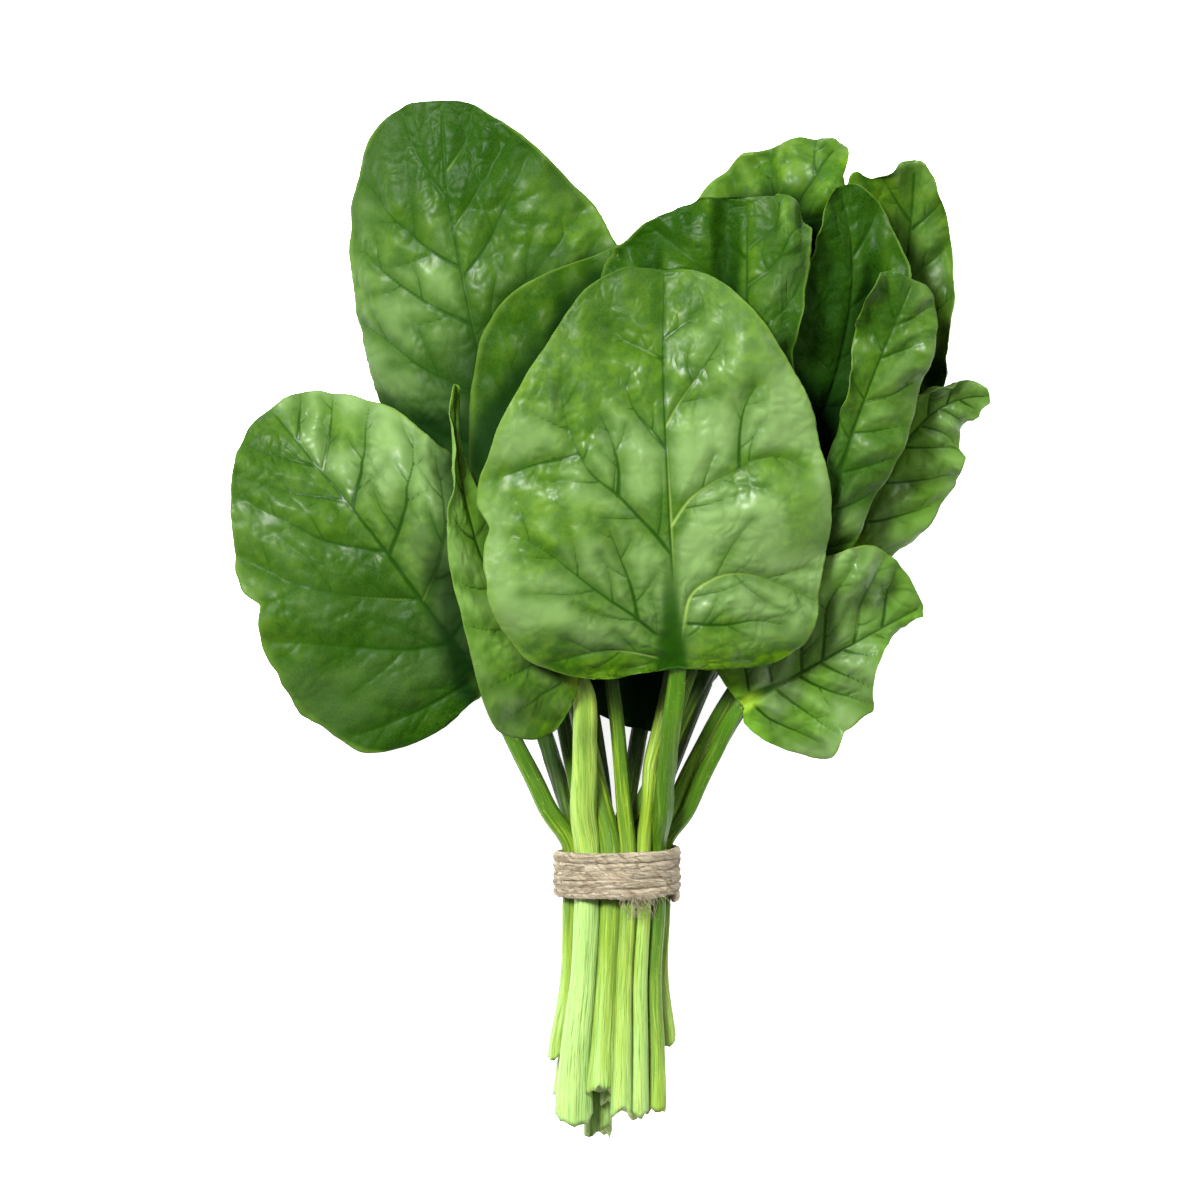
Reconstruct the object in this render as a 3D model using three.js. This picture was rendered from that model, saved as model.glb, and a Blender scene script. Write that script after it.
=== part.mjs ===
// A bunch of spinach tied with jute twine, lying on a table.
//
// Millimetres, +Z up. +Y runs from the cut ends of the stalks to the tips of the leaves, and +X is
// to the right when the bunch is seen from above. The origin is on the table, under the middle of
// the twine. Each leaf is two meshes, one for each of its colours: the dark blade, and the pale
// stalk that runs on under the blade as its midrib. The twine is one cord, wound round the stalks.

import * as THREE from "three";
import { mergeVertices } from "three/addons/utils/BufferGeometryUtils.js";

// ---------------------------------------------------------------- driving dimensions

// The blades
const BLADE_THICKNESS = 0.8;
const BLADE_ROWS = 16; // from the blade's base to its tip
const BLADE_COLUMNS = 4; // on each side of the midrib
const END_ROUNDING = 0.7; // of the outline at the blade's base and tip: under 1 is blunt
const LOBE_END = 0.3; // how far along the outline a basal lobe reaches
const VEIN_SLANT = 0.2; // how far back from the edge the side veins start
const TOOTH_ROUNDING = 1.4; // of the points and notches in the outline: 1 is sharp, 2 is round
const TOOTH_ORIGIN = 0.45; // the place on the midrib that the points turn away from
const RIPPLE_ONSET = 2.4; // how much of the ruffle stays near the edge
const RIPPLE_PHASES = [1.1, 3.4]; // radians, of the left and the right edge

// The stalks
const STALK_SIDES = 7;
const STALK_STEPS = { below: 4, bundle: 5, reach: 6, rib: 7 }; // from the cut to the midrib's end
const CUT_FLARE = 0.22; // how much wider a stalk is at its cut end
const CUT_FLARE_END = 0.35; // where that flare ends, on the way from the cut to the blade
const BLADE_END_TAPER = 0.84; // the radius where the blade starts, as a share of that at the twine
const CHANNEL_DEPTH = 0.3; // of the groove along a stalk's upper side, as a share of its radius
const CHANNEL_SHARPNESS = 4;
const LEAVING_PULL = 0.8; // how straight a stalk leaves the bundle, as a share of its reach
const ARRIVING_PULL = 0.7; // and how straight it runs into the blade
const RIB_GAP = 0.35; // between the midrib and the blade that it carries
const RIB_END = 0.72; // where the midrib fades out, as a share of the blade's length
const RIB_TIP_RADIUS = 0.55;
const RIB_TAPER = 0.7; // under 1 the midrib thins soonest near the blade's base

// The twine, and the bundle of stalks inside it
const TWINE_RADIUS = 1.15;
const TWINE_TURNS = 5.3;
const TWINE_PITCH = 2.45;
const TWINE_SIDES = 6;
const TWINE_STEPS_PER_TURN = 26;
const TWINE_SLACK = 0.55; // between the twine and the stalks
const TWINE_SAG = 1.2; // how far the turns slip towards the leaves below and the cut ends on top
const TWINE_REACH = 10; // on each side of the twine's middle, where the stalks run straight
const RESTING_SQUASH = 0.8; // how far the twine is flattened on the table
const NECK_HALF_WIDTH = 15.2;
const NECK_HALF_HEIGHT = 10.4;
const NECK_CENTRE_Z = NECK_HALF_HEIGHT + TWINE_SLACK + 2 * TWINE_RADIUS - RESTING_SQUASH;
const STALK_GAP = 0.5;
const CUT_END = 75; // below every cut
const BUNDLE_END = 37; // the stalks lie side by side as far as this
const BUNDLE_STATIONS = [-CUT_END, -50, -30, -9, 9, 16, 23, 30, BUNDLE_END];
const CUT_SQUEEZE = 0.82; // how much closer together the stalks are at their cut ends
const CUT_LEAN = 0.03; // sideways, for each millimetre below the twine
const CUT_DROP = 0.04; // towards the table
const SPREAD_START = 0.7; // how soon the stalks part above the twine: 1 is evenly
const PACKING_ROUNDS = 500;

// How the leaves lie on each other and on the table
const LAYER_GAP = 2.2; // from the top of what a leaf lies on to its middle
const TABLE_SOFTNESS = 1.2; // how gently a leaf bends where it meets the table
const TABLE_PRESS = 0.25; // how far its underside is flattened there
const SAMPLE_ROWS = 110; // of the points where a blade may touch the heap
const SAMPLE_COLUMNS = 50;
const RISE_STEPS = 30; // of a stalk between the bundle and the blade
const RISE_SPREAD = 3; // steps
const FINE_STEPS = { below: 30, bundle: 20, reach: RISE_STEPS, rib: 60 };
const CELL = 2; // of the height map that the leaves settle on
const MAP_MIN = [-130, -90];
const MAP_CELLS = [130, 165];
const SPREAD_CELLS = 5; // how far a leaf lifts before the edge that it lies on
const SMOOTH_CELLS = 2;

// ---------------------------------------------------------------- the leaves, lowest first
//
// ring     where the stalk passes through the twine, across and up from the bundle's middle
// radius   of the stalk at the twine
// cut      Y of the cut end
// midrib   four control points of the midrib's curve, from the blade's base to its tip
// left     the blade's widths on the left of the midrib, at each of WIDTH_PLACES
// right    the same on the right
// lobe     how far the base reaches back past the stalk, as a share of the length
// roll     degrees that the blade is turned about its midrib, at the base and the tip
// fold     degrees that both halves rise from the midrib
// curl     degrees that each half turns up (+) or down (-) to its edge: [left, right], each
//          at the base and the tip
// ruffle   of the wavy edge: height, number of waves, and radians that they are shifted
// teeth    each point (+) or notch (-) in the outline: side (-1 left, 1 right), place, size, spread

const WIDTH_PLACES = [0.1, 0.3, 0.5, 0.7, 0.9];

const LEAVES = [
  { name: "leaf_01", ring: [-9, -5.5], radius: 2.4, cut: -64,
    midrib: [[-28, 60, 2], [-42, 74, -2.5], [-54, 88, -2.5], [-68, 104, 1]],
    left: [11, 24, 26, 20, 9], right: [11, 22, 24, 19, 8], lobe: 0.04,
    roll: [180, 180], fold: 4, curl: [[-10, -10], [-10, -10]], ruffle: [3.2, 3, 2.8], teeth: [] },
  { name: "leaf_02", ring: [-4, -8], radius: 2.4, cut: -60,
    midrib: [[-18, 84, 3], [-26, 112, -2.5], [-34, 140, -2.5], [-38, 178, 2]],
    left: [11, 22, 24, 19, 8], right: [13, 28, 30, 24, 10], lobe: 0.04,
    roll: [180, 180], fold: 4, curl: [[-15, -12], [-10, -10]], ruffle: [3.2, 3, 2.8], teeth: [] },
  { name: "leaf_03", ring: [2, -8.5], radius: 2.3, cut: -66,
    midrib: [[16, 84, 3], [26, 112, -2.5], [38, 140, -2.5], [48, 174, 2]],
    left: [11, 24, 26, 21, 9], right: [11, 24, 26, 21, 9], lobe: 0.04,
    roll: [180, 180], fold: 4, curl: [[-10, -12], [-15, -10]], ruffle: [3.2, 3.5, 1.9], teeth: [] },
  { name: "leaf_04", ring: [7, -7], radius: 2.3, cut: -62,
    midrib: [[30, 62, 2], [44, 76, -2.5], [56, 90, -2.5], [70, 106, 1]],
    left: [10, 21, 23, 18, 8], right: [8, 17, 18, 15, 7], lobe: 0.04,
    roll: [180, 180], fold: 4, curl: [[-10, -10], [-10, -10]], ruffle: [3.2, 3, 1.9], teeth: [] },
  { name: "leaf_05", ring: [-4.5, -2], radius: 2.5, cut: -72.8,
    midrib: [[-7, 45.6, 9], [-6, 78, 12], [-5, 112, 12], [-4, 150, 9]],
    left: [20, 33, 34, 25, 9], right: [20, 33, 34, 25, 9], lobe: 0.09,
    roll: [0, 0], fold: 4, curl: [[-12, -12], [-12, -12]], ruffle: [1.6, 4, 3.7], teeth: [] },
  { name: "leaf_06", ring: [-10, -1], radius: 2.1, cut: -63,
    midrib: [[-24, 76, 10], [-38, 104, 12], [-49, 132, 12], [-53, 166, 8]],
    left: [9, 18, 21, 16, 7], right: [9, 19, 22, 17, 7], lobe: 0.03,
    roll: [-8, -12], fold: 5, curl: [[-20, -20], [-10, -10]], ruffle: [2.2, 3, 0.1],
    teeth: [[-1, 0.55, 0.14, 0.05]] },
  { name: "leaf_07", ring: [-1.5, 6.8], radius: 2.8, cut: -61.6,
    midrib: [[-25, 99, 16], [-36, 133, 24], [-49.6, 180, 28], [-49, 217.8, 20]],
    left: [19, 35, 37, 31, 14], right: [20, 42, 47, 33, 11], lobe: 0.02,
    roll: [-10, -6], fold: 6, curl: [[-60, -50], [-14, -22]], ruffle: [2.4, 3.5, 0.1],
    teeth: [[-1, 0.3, -0.1, 0.05]] },
  { name: "leaf_08", ring: [3.5, -3], radius: 2.3, cut: -64,
    midrib: [[43, 88, 16], [66, 122, 20], [84, 154, 26], [83, 200, 40]],
    left: [11, 25, 30, 24, 9], right: [9, 20, 23, 14, 5], lobe: 0.02,
    roll: [12, 0], fold: 8, curl: [[20, 10], [50, 50]], ruffle: [3, 4, 1.9],
    teeth: [[-1, 0.8, 0.16, 0.05], [-1, 0.62, -0.08, 0.05]] },
  { name: "leaf_09", ring: [8.2, 6.2], radius: 1.9, cut: -67.8,
    midrib: [[22, 104, 22], [28, 138, 36], [41, 180, 40], [62.5, 205, 32]],
    left: [11, 24, 29, 22, 6], right: [9, 20, 24, 18, 6], lobe: 0.02,
    roll: [-6, -10], fold: 8, curl: [[-30, -30], [10, 10]], ruffle: [2.2, 4, 4.5],
    teeth: [[1, 0.86, -0.1, 0.04]] },
  { name: "leaf_10", ring: [-13.2, 2.5], radius: 2.5, cut: -51.8,
    midrib: [[-37.2, 51.2, 16], [-52.4, 74.2, 24], [-77.6, 108, 24], [-98, 131, 12]],
    left: [25, 45, 44, 31, 12], right: [22, 37, 38, 28, 12], lobe: 0.05,
    roll: [-4, 8], fold: 5, curl: [[-14, -26], [-58, -58]], ruffle: [1.8, 3, 3.7],
    teeth: [[-1, 0.56, -0.09, 0.025]] },
  { name: "leaf_11", ring: [9.5, -3.5], radius: 2.3, cut: -60,
    midrib: [[64, 88, 26], [76, 112, 32], [84, 136, 36], [104.4, 134, 34]],
    left: [6, 11, 12, 8, 3], right: [9, 16, 18, 11, 3], lobe: 0.02,
    roll: [20, 15], fold: 12, curl: [[40, 40], [-20, -20]], ruffle: [2.6, 4, 1.9], teeth: [] },
  { name: "leaf_12", ring: [2.5, 1.5], radius: 2.0, cut: -65,
    midrib: [[48, 99, 30], [58, 133, 40], [72, 161, 48], [62, 192, 52]],
    left: [6, 14, 17, 14, 5], right: [7, 15, 19, 15, 6], lobe: 0.02,
    roll: [6, 18], fold: 10, curl: [[10, 10], [60, 80]], ruffle: [1.8, 3, 5.4], teeth: [] },
  { name: "leaf_13", ring: [4.2, 7.8], radius: 2.0, cut: -67.8,
    midrib: [[-3, 74, 28], [-8, 105, 38], [-10, 140, 42], [3, 176, 36]],
    left: [16, 30, 35, 30, 5], right: [17, 32, 36, 28, 11], lobe: 0.03,
    roll: [-8, 0], fold: 5, curl: [[-20, -20], [-14, -10]], ruffle: [1.8, 3, 5.4], teeth: [] },
  { name: "leaf_14", ring: [7, 1], radius: 2.0, cut: -65,
    midrib: [[33, 92, 38], [36, 127, 50], [37, 161, 56], [36, 189, 50]],
    left: [14, 36, 46, 41, 20], right: [5, 11, 13, 18, 14], lobe: 0.02,
    roll: [-8, -6], fold: 7, curl: [[-26, -26], [-40, -40]], ruffle: [3.2, 5, 5.4], teeth: [] },
  { name: "leaf_15", ring: [11, 0.5], radius: 2.0, cut: -64,
    midrib: [[55, 88, 38], [62, 116, 48], [72, 142, 54], [82, 166, 52]],
    left: [2, 4, 6, 11, 10], right: [6, 12, 15, 13, 7], lobe: 0.02,
    roll: [0, 10], fold: 10, curl: [[30, 20], [-20, -20]], ruffle: [2.4, 4, 5.4], teeth: [] },
  { name: "leaf_16", ring: [14, -0.5], radius: 2.2, cut: -48,
    midrib: [[35, 47.3, 26], [50, 55, 34], [68, 66, 36], [86, 75.6, 28]],
    left: [14, 26, 28, 24, 16], right: [5, 24, 19, 4, 2], lobe: 0.05,
    roll: [6, 0], fold: 6, curl: [[-12, -16], [-20, -30]], ruffle: [3, 4, 1.0],
    teeth: [[1, 0.53, 0.12, 0.03], [1, 0.42, -0.15, 0.04]] },
  { name: "leaf_17", ring: [-7.6, 6.5], radius: 3.4, cut: -69.4,
    midrib: [[-10, 55, 30], [-30, 66, 38], [-46, 94, 40], [-45.5, 137.5, 38]],
    left: [16, 22, 15, 8, 3], right: [8, 9, 7, 4, 2], lobe: 0.03,
    roll: [0, 70], fold: 8, curl: [[-20, 40], [-20, 20]], ruffle: [1.4, 3, 5.5],
    teeth: [[-1, 0.3, 0.2, 0.07]] },
  { name: "leaf_18", ring: [11.8, 4.6], radius: 2.6, cut: -66.5,
    midrib: [[17.1, 58, 46], [15.4, 88.2, 62], [12, 127.4, 66], [13.2, 169, 54]],
    left: [30, 50, 54, 35, 17], right: [26, 42, 45, 34, 15], lobe: 0.03,
    roll: [0, 0], fold: 5, curl: [[-18, -14], [-26, -30]], ruffle: [1.8, 3.5, 5.5],
    teeth: [[-1, 0.44, -0.08, 0.04]] },
];

// ---------------------------------------------------------------- small helpers

const radians = THREE.MathUtils.degToRad;
const lerp = THREE.MathUtils.lerp;
const clamp = THREE.MathUtils.clamp;
const smoothstep = THREE.MathUtils.smoothstep;
const vector = (list) => new THREE.Vector3(...list);
const largest = (list) => Math.max(...list);
const mean = (list) => list.reduce((a, b) => a + b, 0) / list.length;
const UP = new THREE.Vector3(0, 0, 1);

// The shares of two ends and their slopes on a smooth step between them.
function hermiteShares(u) {
  const [u2, u3] = [u * u, u * u * u];
  return [2 * u3 - 3 * u2 + 1, u3 - 2 * u2 + u, 3 * u2 - 2 * u3, u3 - u2];
}

// A smooth step from b to c, with the values before and after them to set its slopes.
function smoothBetween(a, b, c, d, u) {
  const [from, leaving, to, arriving] = hermiteShares(u);
  return from * b + (leaving * (c - a)) / 2 + to * c + (arriving * (d - b)) / 2;
}

// A closed body from a list of points and a list of triangles.
function solid(points, triangles) {
  const geometry = new THREE.BufferGeometry();
  const coordinates = points.flatMap((point) => point.toArray());
  geometry.setAttribute("position", new THREE.Float32BufferAttribute(coordinates, 3));
  geometry.setIndex(triangles.flat());
  return mergeVertices(geometry);
}

// A tube through rings of points, capped at both ends. The rings run anticlockwise about its way.
function loft(rings) {
  const sides = rings[0].length;
  const points = rings.flat();
  const triangles = [];
  for (let ring = 0; ring < rings.length; ring++) {
    const is_end = ring === 0 || ring === rings.length - 1;
    if (is_end) {
      const middle = new THREE.Vector3();
      rings[ring].forEach((point) => middle.addScaledVector(point, 1 / sides));
      points.push(middle);
    }
    for (let side = 0; side < sides; side++) {
      const a = ring * sides + side;
      const b = ring * sides + ((side + 1) % sides);
      if (ring < rings.length - 1) triangles.push([a, b, b + sides], [a, b + sides, a + sides]);
      if (is_end) triangles.push(ring ? [a, b, points.length - 1] : [b, a, points.length - 1]);
    }
  }
  return solid(points, triangles);
}

// ---------------------------------------------------------------- the blade of a leaf

// A smooth line through the values at WIDTH_PLACES, level beyond the first and the last.
function widthAt(values, along) {
  const step = WIDTH_PLACES[1] - WIDTH_PLACES[0];
  const last = values.length - 1;
  const u = clamp((along - WIDTH_PLACES[0]) / step, 0, last);
  const k = Math.min(Math.floor(u), last - 1);
  const at = (i) => {
    const place = clamp(i, 0, last);
    return values[place] / Math.pow(Math.sin(Math.PI * WIDTH_PLACES[place]), END_ROUNDING);
  };
  return smoothBetween(at(k - 1), at(k), at(k + 1), at(k + 2), u - k);
}

// A point's distance from the midrib, and its way along the midrib as a share of the length.
function flat(leaf, along, across) {
  const side = across < 0 ? -1 : 1;
  const share = Math.abs(across);
  const ends = Math.pow(Math.max(Math.sin(Math.PI * along), 0), END_ROUNDING);
  let width = ends * widthAt(side < 0 ? leaf.left : leaf.right, along);
  const middle = (1 - Math.cos(Math.PI * along)) / 2;
  const backing = Math.min(along / LOBE_END, 1);
  let edge = middle - leaf.lobe * 4 * backing * (1 - backing);
  for (const [tooth_side, place, size, spread] of leaf.teeth) {
    if (tooth_side === side) {
      const tooth = size * Math.exp(-Math.pow(Math.abs(along - place) / spread, TOOTH_ROUNDING));
      width *= 1 + tooth;
      edge += (edge - TOOTH_ORIGIN) * tooth;
    }
  }
  const root = middle * (1 - VEIN_SLANT * (1 - along));
  return [share * width, lerp(root, edge, share)];
}

// The midrib's curve and the frame that goes along it: place, and the right and the upper side.
function midrib(leaf, t) {
  const [a, b, c, d] = leaf.midrib.map(vector);
  const u = clamp(t, 0, 1);
  const v = 1 - u;
  const place = new THREE.Vector3()
    .addScaledVector(a, v * v * v)
    .addScaledVector(b, 3 * v * v * u)
    .addScaledVector(c, 3 * v * u * u)
    .addScaledVector(d, u * u * u);
  const slope = new THREE.Vector3()
    .addScaledVector(b.clone().sub(a), 3 * v * v)
    .addScaledVector(c.clone().sub(b), 6 * v * u)
    .addScaledVector(d.clone().sub(c), 3 * u * u);
  place.addScaledVector(slope, t - u);
  const level_right = slope.clone().cross(UP).normalize();
  const level_upper = level_right.clone().cross(slope).normalize();
  const roll = radians(lerp(leaf.roll[0], leaf.roll[1], u));
  const [cosine, sine] = [Math.cos(roll), Math.sin(roll)];
  const right = level_right.clone().multiplyScalar(cosine).addScaledVector(level_upper, -sine);
  const upper = level_upper.clone().multiplyScalar(cosine).addScaledVector(level_right, sine);
  return { place, right, upper };
}

// A point of the blade's middle surface before the leaf has settled. across runs from -1 to 1.
function bladeAsGrown(leaf, along, across) {
  const [side, half, widths] = across < 0 ? [-1, 0, leaf.left] : [1, 1, leaf.right];
  const [distance, t] = flat(leaf, along, across);
  const { place, right, upper } = midrib(leaf, t);
  const [curl_at_base, curl_at_tip] = leaf.curl[half];
  const bend = radians(lerp(curl_at_base, curl_at_tip, along)) / largest(widths);
  const start = radians(leaf.fold);
  const end = start + bend * distance;
  const is_bent = Math.abs(bend) > 1e-6;
  const outward = is_bent ? (Math.sin(end) - Math.sin(start)) / bend : distance * Math.cos(start);
  const upward = is_bent ? (Math.cos(start) - Math.cos(end)) / bend : distance * Math.sin(start);
  const [height, waves, shift] = leaf.ruffle;
  const wave = Math.sin(2 * Math.PI * waves * along + RIPPLE_PHASES[half] + shift);
  const ripple = height * Math.pow(Math.abs(across), RIPPLE_ONSET) * wave * Math.sin(Math.PI * along);
  return place.addScaledVector(right, side * outward).addScaledVector(upper, upward + ripple);
}

// A height that the table holds up: near the lowest for what would be under it, itself far above.
function pressed(z, lowest) {
  const above = z - lowest;
  return lowest + (above + Math.hypot(above, TABLE_SOFTNESS)) / 2;
}

// A point of the blade's middle surface once it lies on the table or on the leaves below it.
function blade(leaf, along, across) {
  const point = bladeAsGrown(leaf, along, across);
  const lift = leaf.lift.at(point.x, point.y);
  return point.setZ(pressed(point.z, BLADE_THICKNESS / 2 - TABLE_PRESS) + lift);
}

// The way that the blade's upper face looks, measured a little inside its outline.
function bladeNormal(leaf, along, across) {
  const margin = 0.03;
  const step = 0.004;
  const s = clamp(along, margin, 1 - margin);
  const q = clamp(across, margin - 1, 1 - margin);
  const lengthwise = blade(leaf, s + step, q).sub(blade(leaf, s - step, q));
  const crosswise = blade(leaf, s, q + step).sub(blade(leaf, s, q - step));
  return crosswise.cross(lengthwise).normalize();
}

// One face of the blade as rows of points: the upper one (1) or the under one (-1). Where the
// blade lies on the table, its lower face is flat.
function bladeFace(leaf, face) {
  const points = [];
  for (let row = 0; row <= BLADE_ROWS; row++) {
    for (let column = -BLADE_COLUMNS; column <= BLADE_COLUMNS; column++) {
      const along = row / BLADE_ROWS;
      const across = column / BLADE_COLUMNS;
      const is_end = row === 0 || row === BLADE_ROWS;
      const normal = bladeNormal(leaf, along, is_end ? 0 : across);
      const point = blade(leaf, along, across).addScaledVector(normal, (face * BLADE_THICKNESS) / 2);
      const is_top = face * normal.z > 0;
      points.push(point.setZ(Math.max(point.z, is_top ? BLADE_THICKNESS : 0)));
    }
  }
  return points;
}

// The blade as one thin closed body: two faces, split into triangles alike, and the edge between.
function bladeGeometry(leaf) {
  const columns = 2 * BLADE_COLUMNS + 1;
  const points = [...bladeFace(leaf, 1), ...bladeFace(leaf, -1)];
  const count = points.length / 2;
  const triangles = [];
  const inBothFaces = (a, b, c) => triangles.push([a, b, c], [c + count, b + count, a + count]);
  const addEdge = (a, b) => triangles.push([a, b, b + count], [a, b + count, a + count]);
  for (let row = 0; row < BLADE_ROWS; row++) {
    for (let column = 0; column < columns - 1; column++) {
      const a = row * columns + column;
      const [b, c, d] = [a + 1, a + columns + 1, a + columns];
      if (column < BLADE_COLUMNS) {
        inBothFaces(a, b, d);
        inBothFaces(b, c, d);
      } else {
        inBothFaces(a, b, c);
        inBothFaces(a, c, d);
      }
    }
    addEdge(row * columns, (row + 1) * columns);
    addEdge((row + 1) * columns + columns - 1, row * columns + columns - 1);
  }
  return solid(points, withoutCollapsed(triangles, columns, count));
}

// At the base and the tip a whole row is one point: its triangles are renumbered or dropped.
function withoutCollapsed(triangles, columns, count) {
  const rowStart = (index) => {
    const within = index % count;
    if (within < columns) return index - within;
    if (within >= count - columns) return index - within + count - columns;
    return index;
  };
  return triangles
    .map((corners) => corners.map(rowStart))
    .filter(([a, b, c]) => a !== b && b !== c && c !== a);
}

// ---------------------------------------------------------------- the stalk of a leaf
//
// Its way runs from 0 at the cut through 0.5 at the twine and 1 at the blade's base to 2 at the
// midrib's end.

function stalkRadius(leaf, way) {
  if (way > 1) {
    const thinning = Math.pow(way - 1, RIB_TAPER);
    return lerp(leaf.radius * BLADE_END_TAPER, RIB_TIP_RADIUS, thinning);
  }
  const taper = lerp(1, BLADE_END_TAPER, smoothstep(way, 0.5, 1));
  const flare = lerp(1 + CUT_FLARE, 1, smoothstep(way, 0, CUT_FLARE_END));
  return leaf.radius * taper * flare;
}

// Where the stalk runs within the bundle at a Y.
function inBundle(leaf, y) {
  const stations = BUNDLE_STATIONS;
  let k = 0;
  while (k < stations.length - 2 && y > stations[k + 1]) k++;
  const u = (y - stations[k]) / (stations[k + 1] - stations[k]);
  const at = (i) => leaf.bundle[clamp(i, 0, stations.length - 1)];
  const [a, b, c, d] = [at(k - 1), at(k), at(k + 1), at(k + 2)];
  return new THREE.Vector3(
    smoothBetween(a[0], b[0], c[0], d[0], u),
    y,
    smoothBetween(a[1], b[1], c[1], d[1], u),
  );
}

// How far the stalk rises over what it lies on, between the bundle (u = 0) and the blade (u = 1).
function riseAt(leaf, u) {
  const step = clamp(u, 0, 1) * RISE_STEPS;
  const k = Math.min(Math.floor(step), RISE_STEPS - 1);
  return lerp(leaf.rise[k], leaf.rise[k + 1], step - k);
}

// A point under the blade's midrib, far enough down for a rib of that radius.
function underBlade(leaf, along, normal, radius) {
  const depth = BLADE_THICKNESS / 2 + RIB_GAP + radius;
  return blade(leaf, along, 0).addScaledVector(normal, -depth);
}

// The stalk's middle line and its upper side, as a list of { place, upper, way }. Between the
// bundle and the blade each entry also has u, from 0 to 1.
function stalkLine(leaf, steps) {
  const line = [];
  for (let i = 0; i < steps.below; i++) {
    const share = i / steps.below;
    line.push({ place: inBundle(leaf, leaf.cut * (1 - share)), upper: UP, way: 0.5 * share });
  }

  const base_normal = bladeNormal(leaf, 0, 0);
  const base = underBlade(leaf, 0, base_normal, stalkRadius(leaf, 1));
  const wayAt = (y) => 0.5 + (0.5 * y) / base.y;
  for (let i = 0; i < steps.bundle; i++) {
    const y = (BUNDLE_END * i) / steps.bundle;
    line.push({ place: inBundle(leaf, y), upper: UP, way: wayAt(y) });
  }

  const leave = inBundle(leaf, BUNDLE_END);
  const reach = base.distanceTo(leave);
  const before_leaving = inBundle(leaf, BUNDLE_END - 4);
  const leaving = leave.clone().sub(before_leaving).setLength(LEAVING_PULL * reach);
  const arriving = blade(leaf, 0.2, 0).sub(blade(leaf, 0, 0)).setLength(ARRIVING_PULL * reach);
  for (let i = 0; i <= steps.reach; i++) {
    const u = i / steps.reach;
    const shares = hermiteShares(u);
    const place = new THREE.Vector3();
    [leave, leaving, base, arriving].forEach((end, k) => place.addScaledVector(end, shares[k]));
    place.setZ(Math.max(place.z + riseAt(leaf, u), leaf.radius));
    const upper = UP.clone().lerp(base_normal, smoothstep(u, 0.3, 1));
    line.push({ place, upper, way: wayAt(lerp(BUNDLE_END, base.y, u)), u });
  }

  for (let i = 1; i <= steps.rib; i++) {
    const way = 1 + i / steps.rib;
    const along = Math.acos(1 - 2 * RIB_END * (way - 1)) / Math.PI;
    const upper = bladeNormal(leaf, along, 0);
    line.push({ place: underBlade(leaf, along, upper, stalkRadius(leaf, way)), upper, way });
  }
  return line;
}

// A round section with a channel along its upper side, at each point of the stalk's line.
function stalkRings(leaf) {
  const line = stalkLine(leaf, STALK_STEPS);
  return line.map(({ place, upper, way }, i) => {
    const before = line[Math.max(i - 1, 0)].place;
    const after = line[Math.min(i + 1, line.length - 1)].place;
    const forward = after.clone().sub(before);
    const right = forward.clone().cross(upper).normalize();
    const top = right.clone().cross(forward).normalize();
    const radius = stalkRadius(leaf, way);
    const ring = [];
    for (let side = 0; side < STALK_SIDES; side++) {
      const angle = (-2 * Math.PI * side) / STALK_SIDES;
      const channel = CHANNEL_DEPTH * Math.pow(Math.max(Math.sin(angle), 0), CHANNEL_SHARPNESS);
      const across = radius * Math.cos(angle);
      const above = radius * (1 - channel) * Math.sin(angle);
      const point = place.clone().addScaledVector(right, across).addScaledVector(top, above);
      ring.push(point.setZ(Math.max(point.z, 0)));
    }
    return ring;
  });
}

const stalkGeometry = (leaf) => loft(stalkRings(leaf));

// ---------------------------------------------------------------- how the stalks are bundled

// Moves round stalks apart until none touch, above the table and within an ellipse if there is one.
function packStalks(places, radii, half_width = Infinity, half_height = Infinity) {
  const part = (p, q, distance) => {
    const [across, up] = [p[0] - q[0], p[1] - q[1]];
    const apart = Math.hypot(across, up);
    const push = Math.max(distance - apart, 0) / 2 / apart;
    p[0] += across * push;
    p[1] += up * push;
    q[0] -= across * push;
    q[1] -= up * push;
  };
  const keepInside = (p, radius) => {
    const above = p[1] - NECK_CENTRE_Z;
    const out = Math.hypot(p[0] / (half_width - radius), above / (half_height - radius));
    p[0] /= Math.max(out, 1);
    p[1] = Math.max(NECK_CENTRE_Z + above / Math.max(out, 1), radius);
  };
  for (let round = 0; round < PACKING_ROUNDS; round++) {
    places.forEach((p, i) => {
      places.slice(0, i).forEach((q, j) => part(p, q, radii[i] + radii[j] + STALK_GAP));
    });
    places.forEach((p, i) => keepInside(p, radii[i]));
  }
  return places;
}

// Lays the stalks side by side: leaf.bundle holds [x, z] at each of BUNDLE_STATIONS.
function bundleStalks() {
  const radii = LEAVES.map((leaf) => leaf.radius);
  const wanted = LEAVES.map((leaf) => [leaf.ring[0], leaf.ring[1] + NECK_CENTRE_Z]);
  const in_twine = packStalks(wanted, radii, NECK_HALF_WIDTH, NECK_HALF_HEIGHT);
  const towardsCut = ([x, z], y) => {
    return [x * lerp(1, CUT_SQUEEZE, -y / CUT_END) + CUT_LEAN * y, z + CUT_DROP * y];
  };
  const towardsBlade = ([x, z], y, base) => {
    const share = y / base[1];
    const u = share * lerp(SPREAD_START, 1, share);
    return [lerp(x, base[0], u), lerp(z, base[2], u)];
  };
  const stations = BUNDLE_STATIONS.map((y) => {
    if (Math.abs(y) < TWINE_REACH) return in_twine;
    const places = LEAVES.map((leaf, i) => {
      return y < 0 ? towardsCut(in_twine[i], y) : towardsBlade(in_twine[i], y, leaf.midrib[0]);
    });
    const flare = 1 + CUT_FLARE * smoothstep(-y, 20, 60);
    return packStalks(places, radii.map((radius) => radius * flare));
  });
  LEAVES.forEach((leaf, i) => {
    leaf.bundle = stations.map((places) => places[i]);
  });
}

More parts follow.
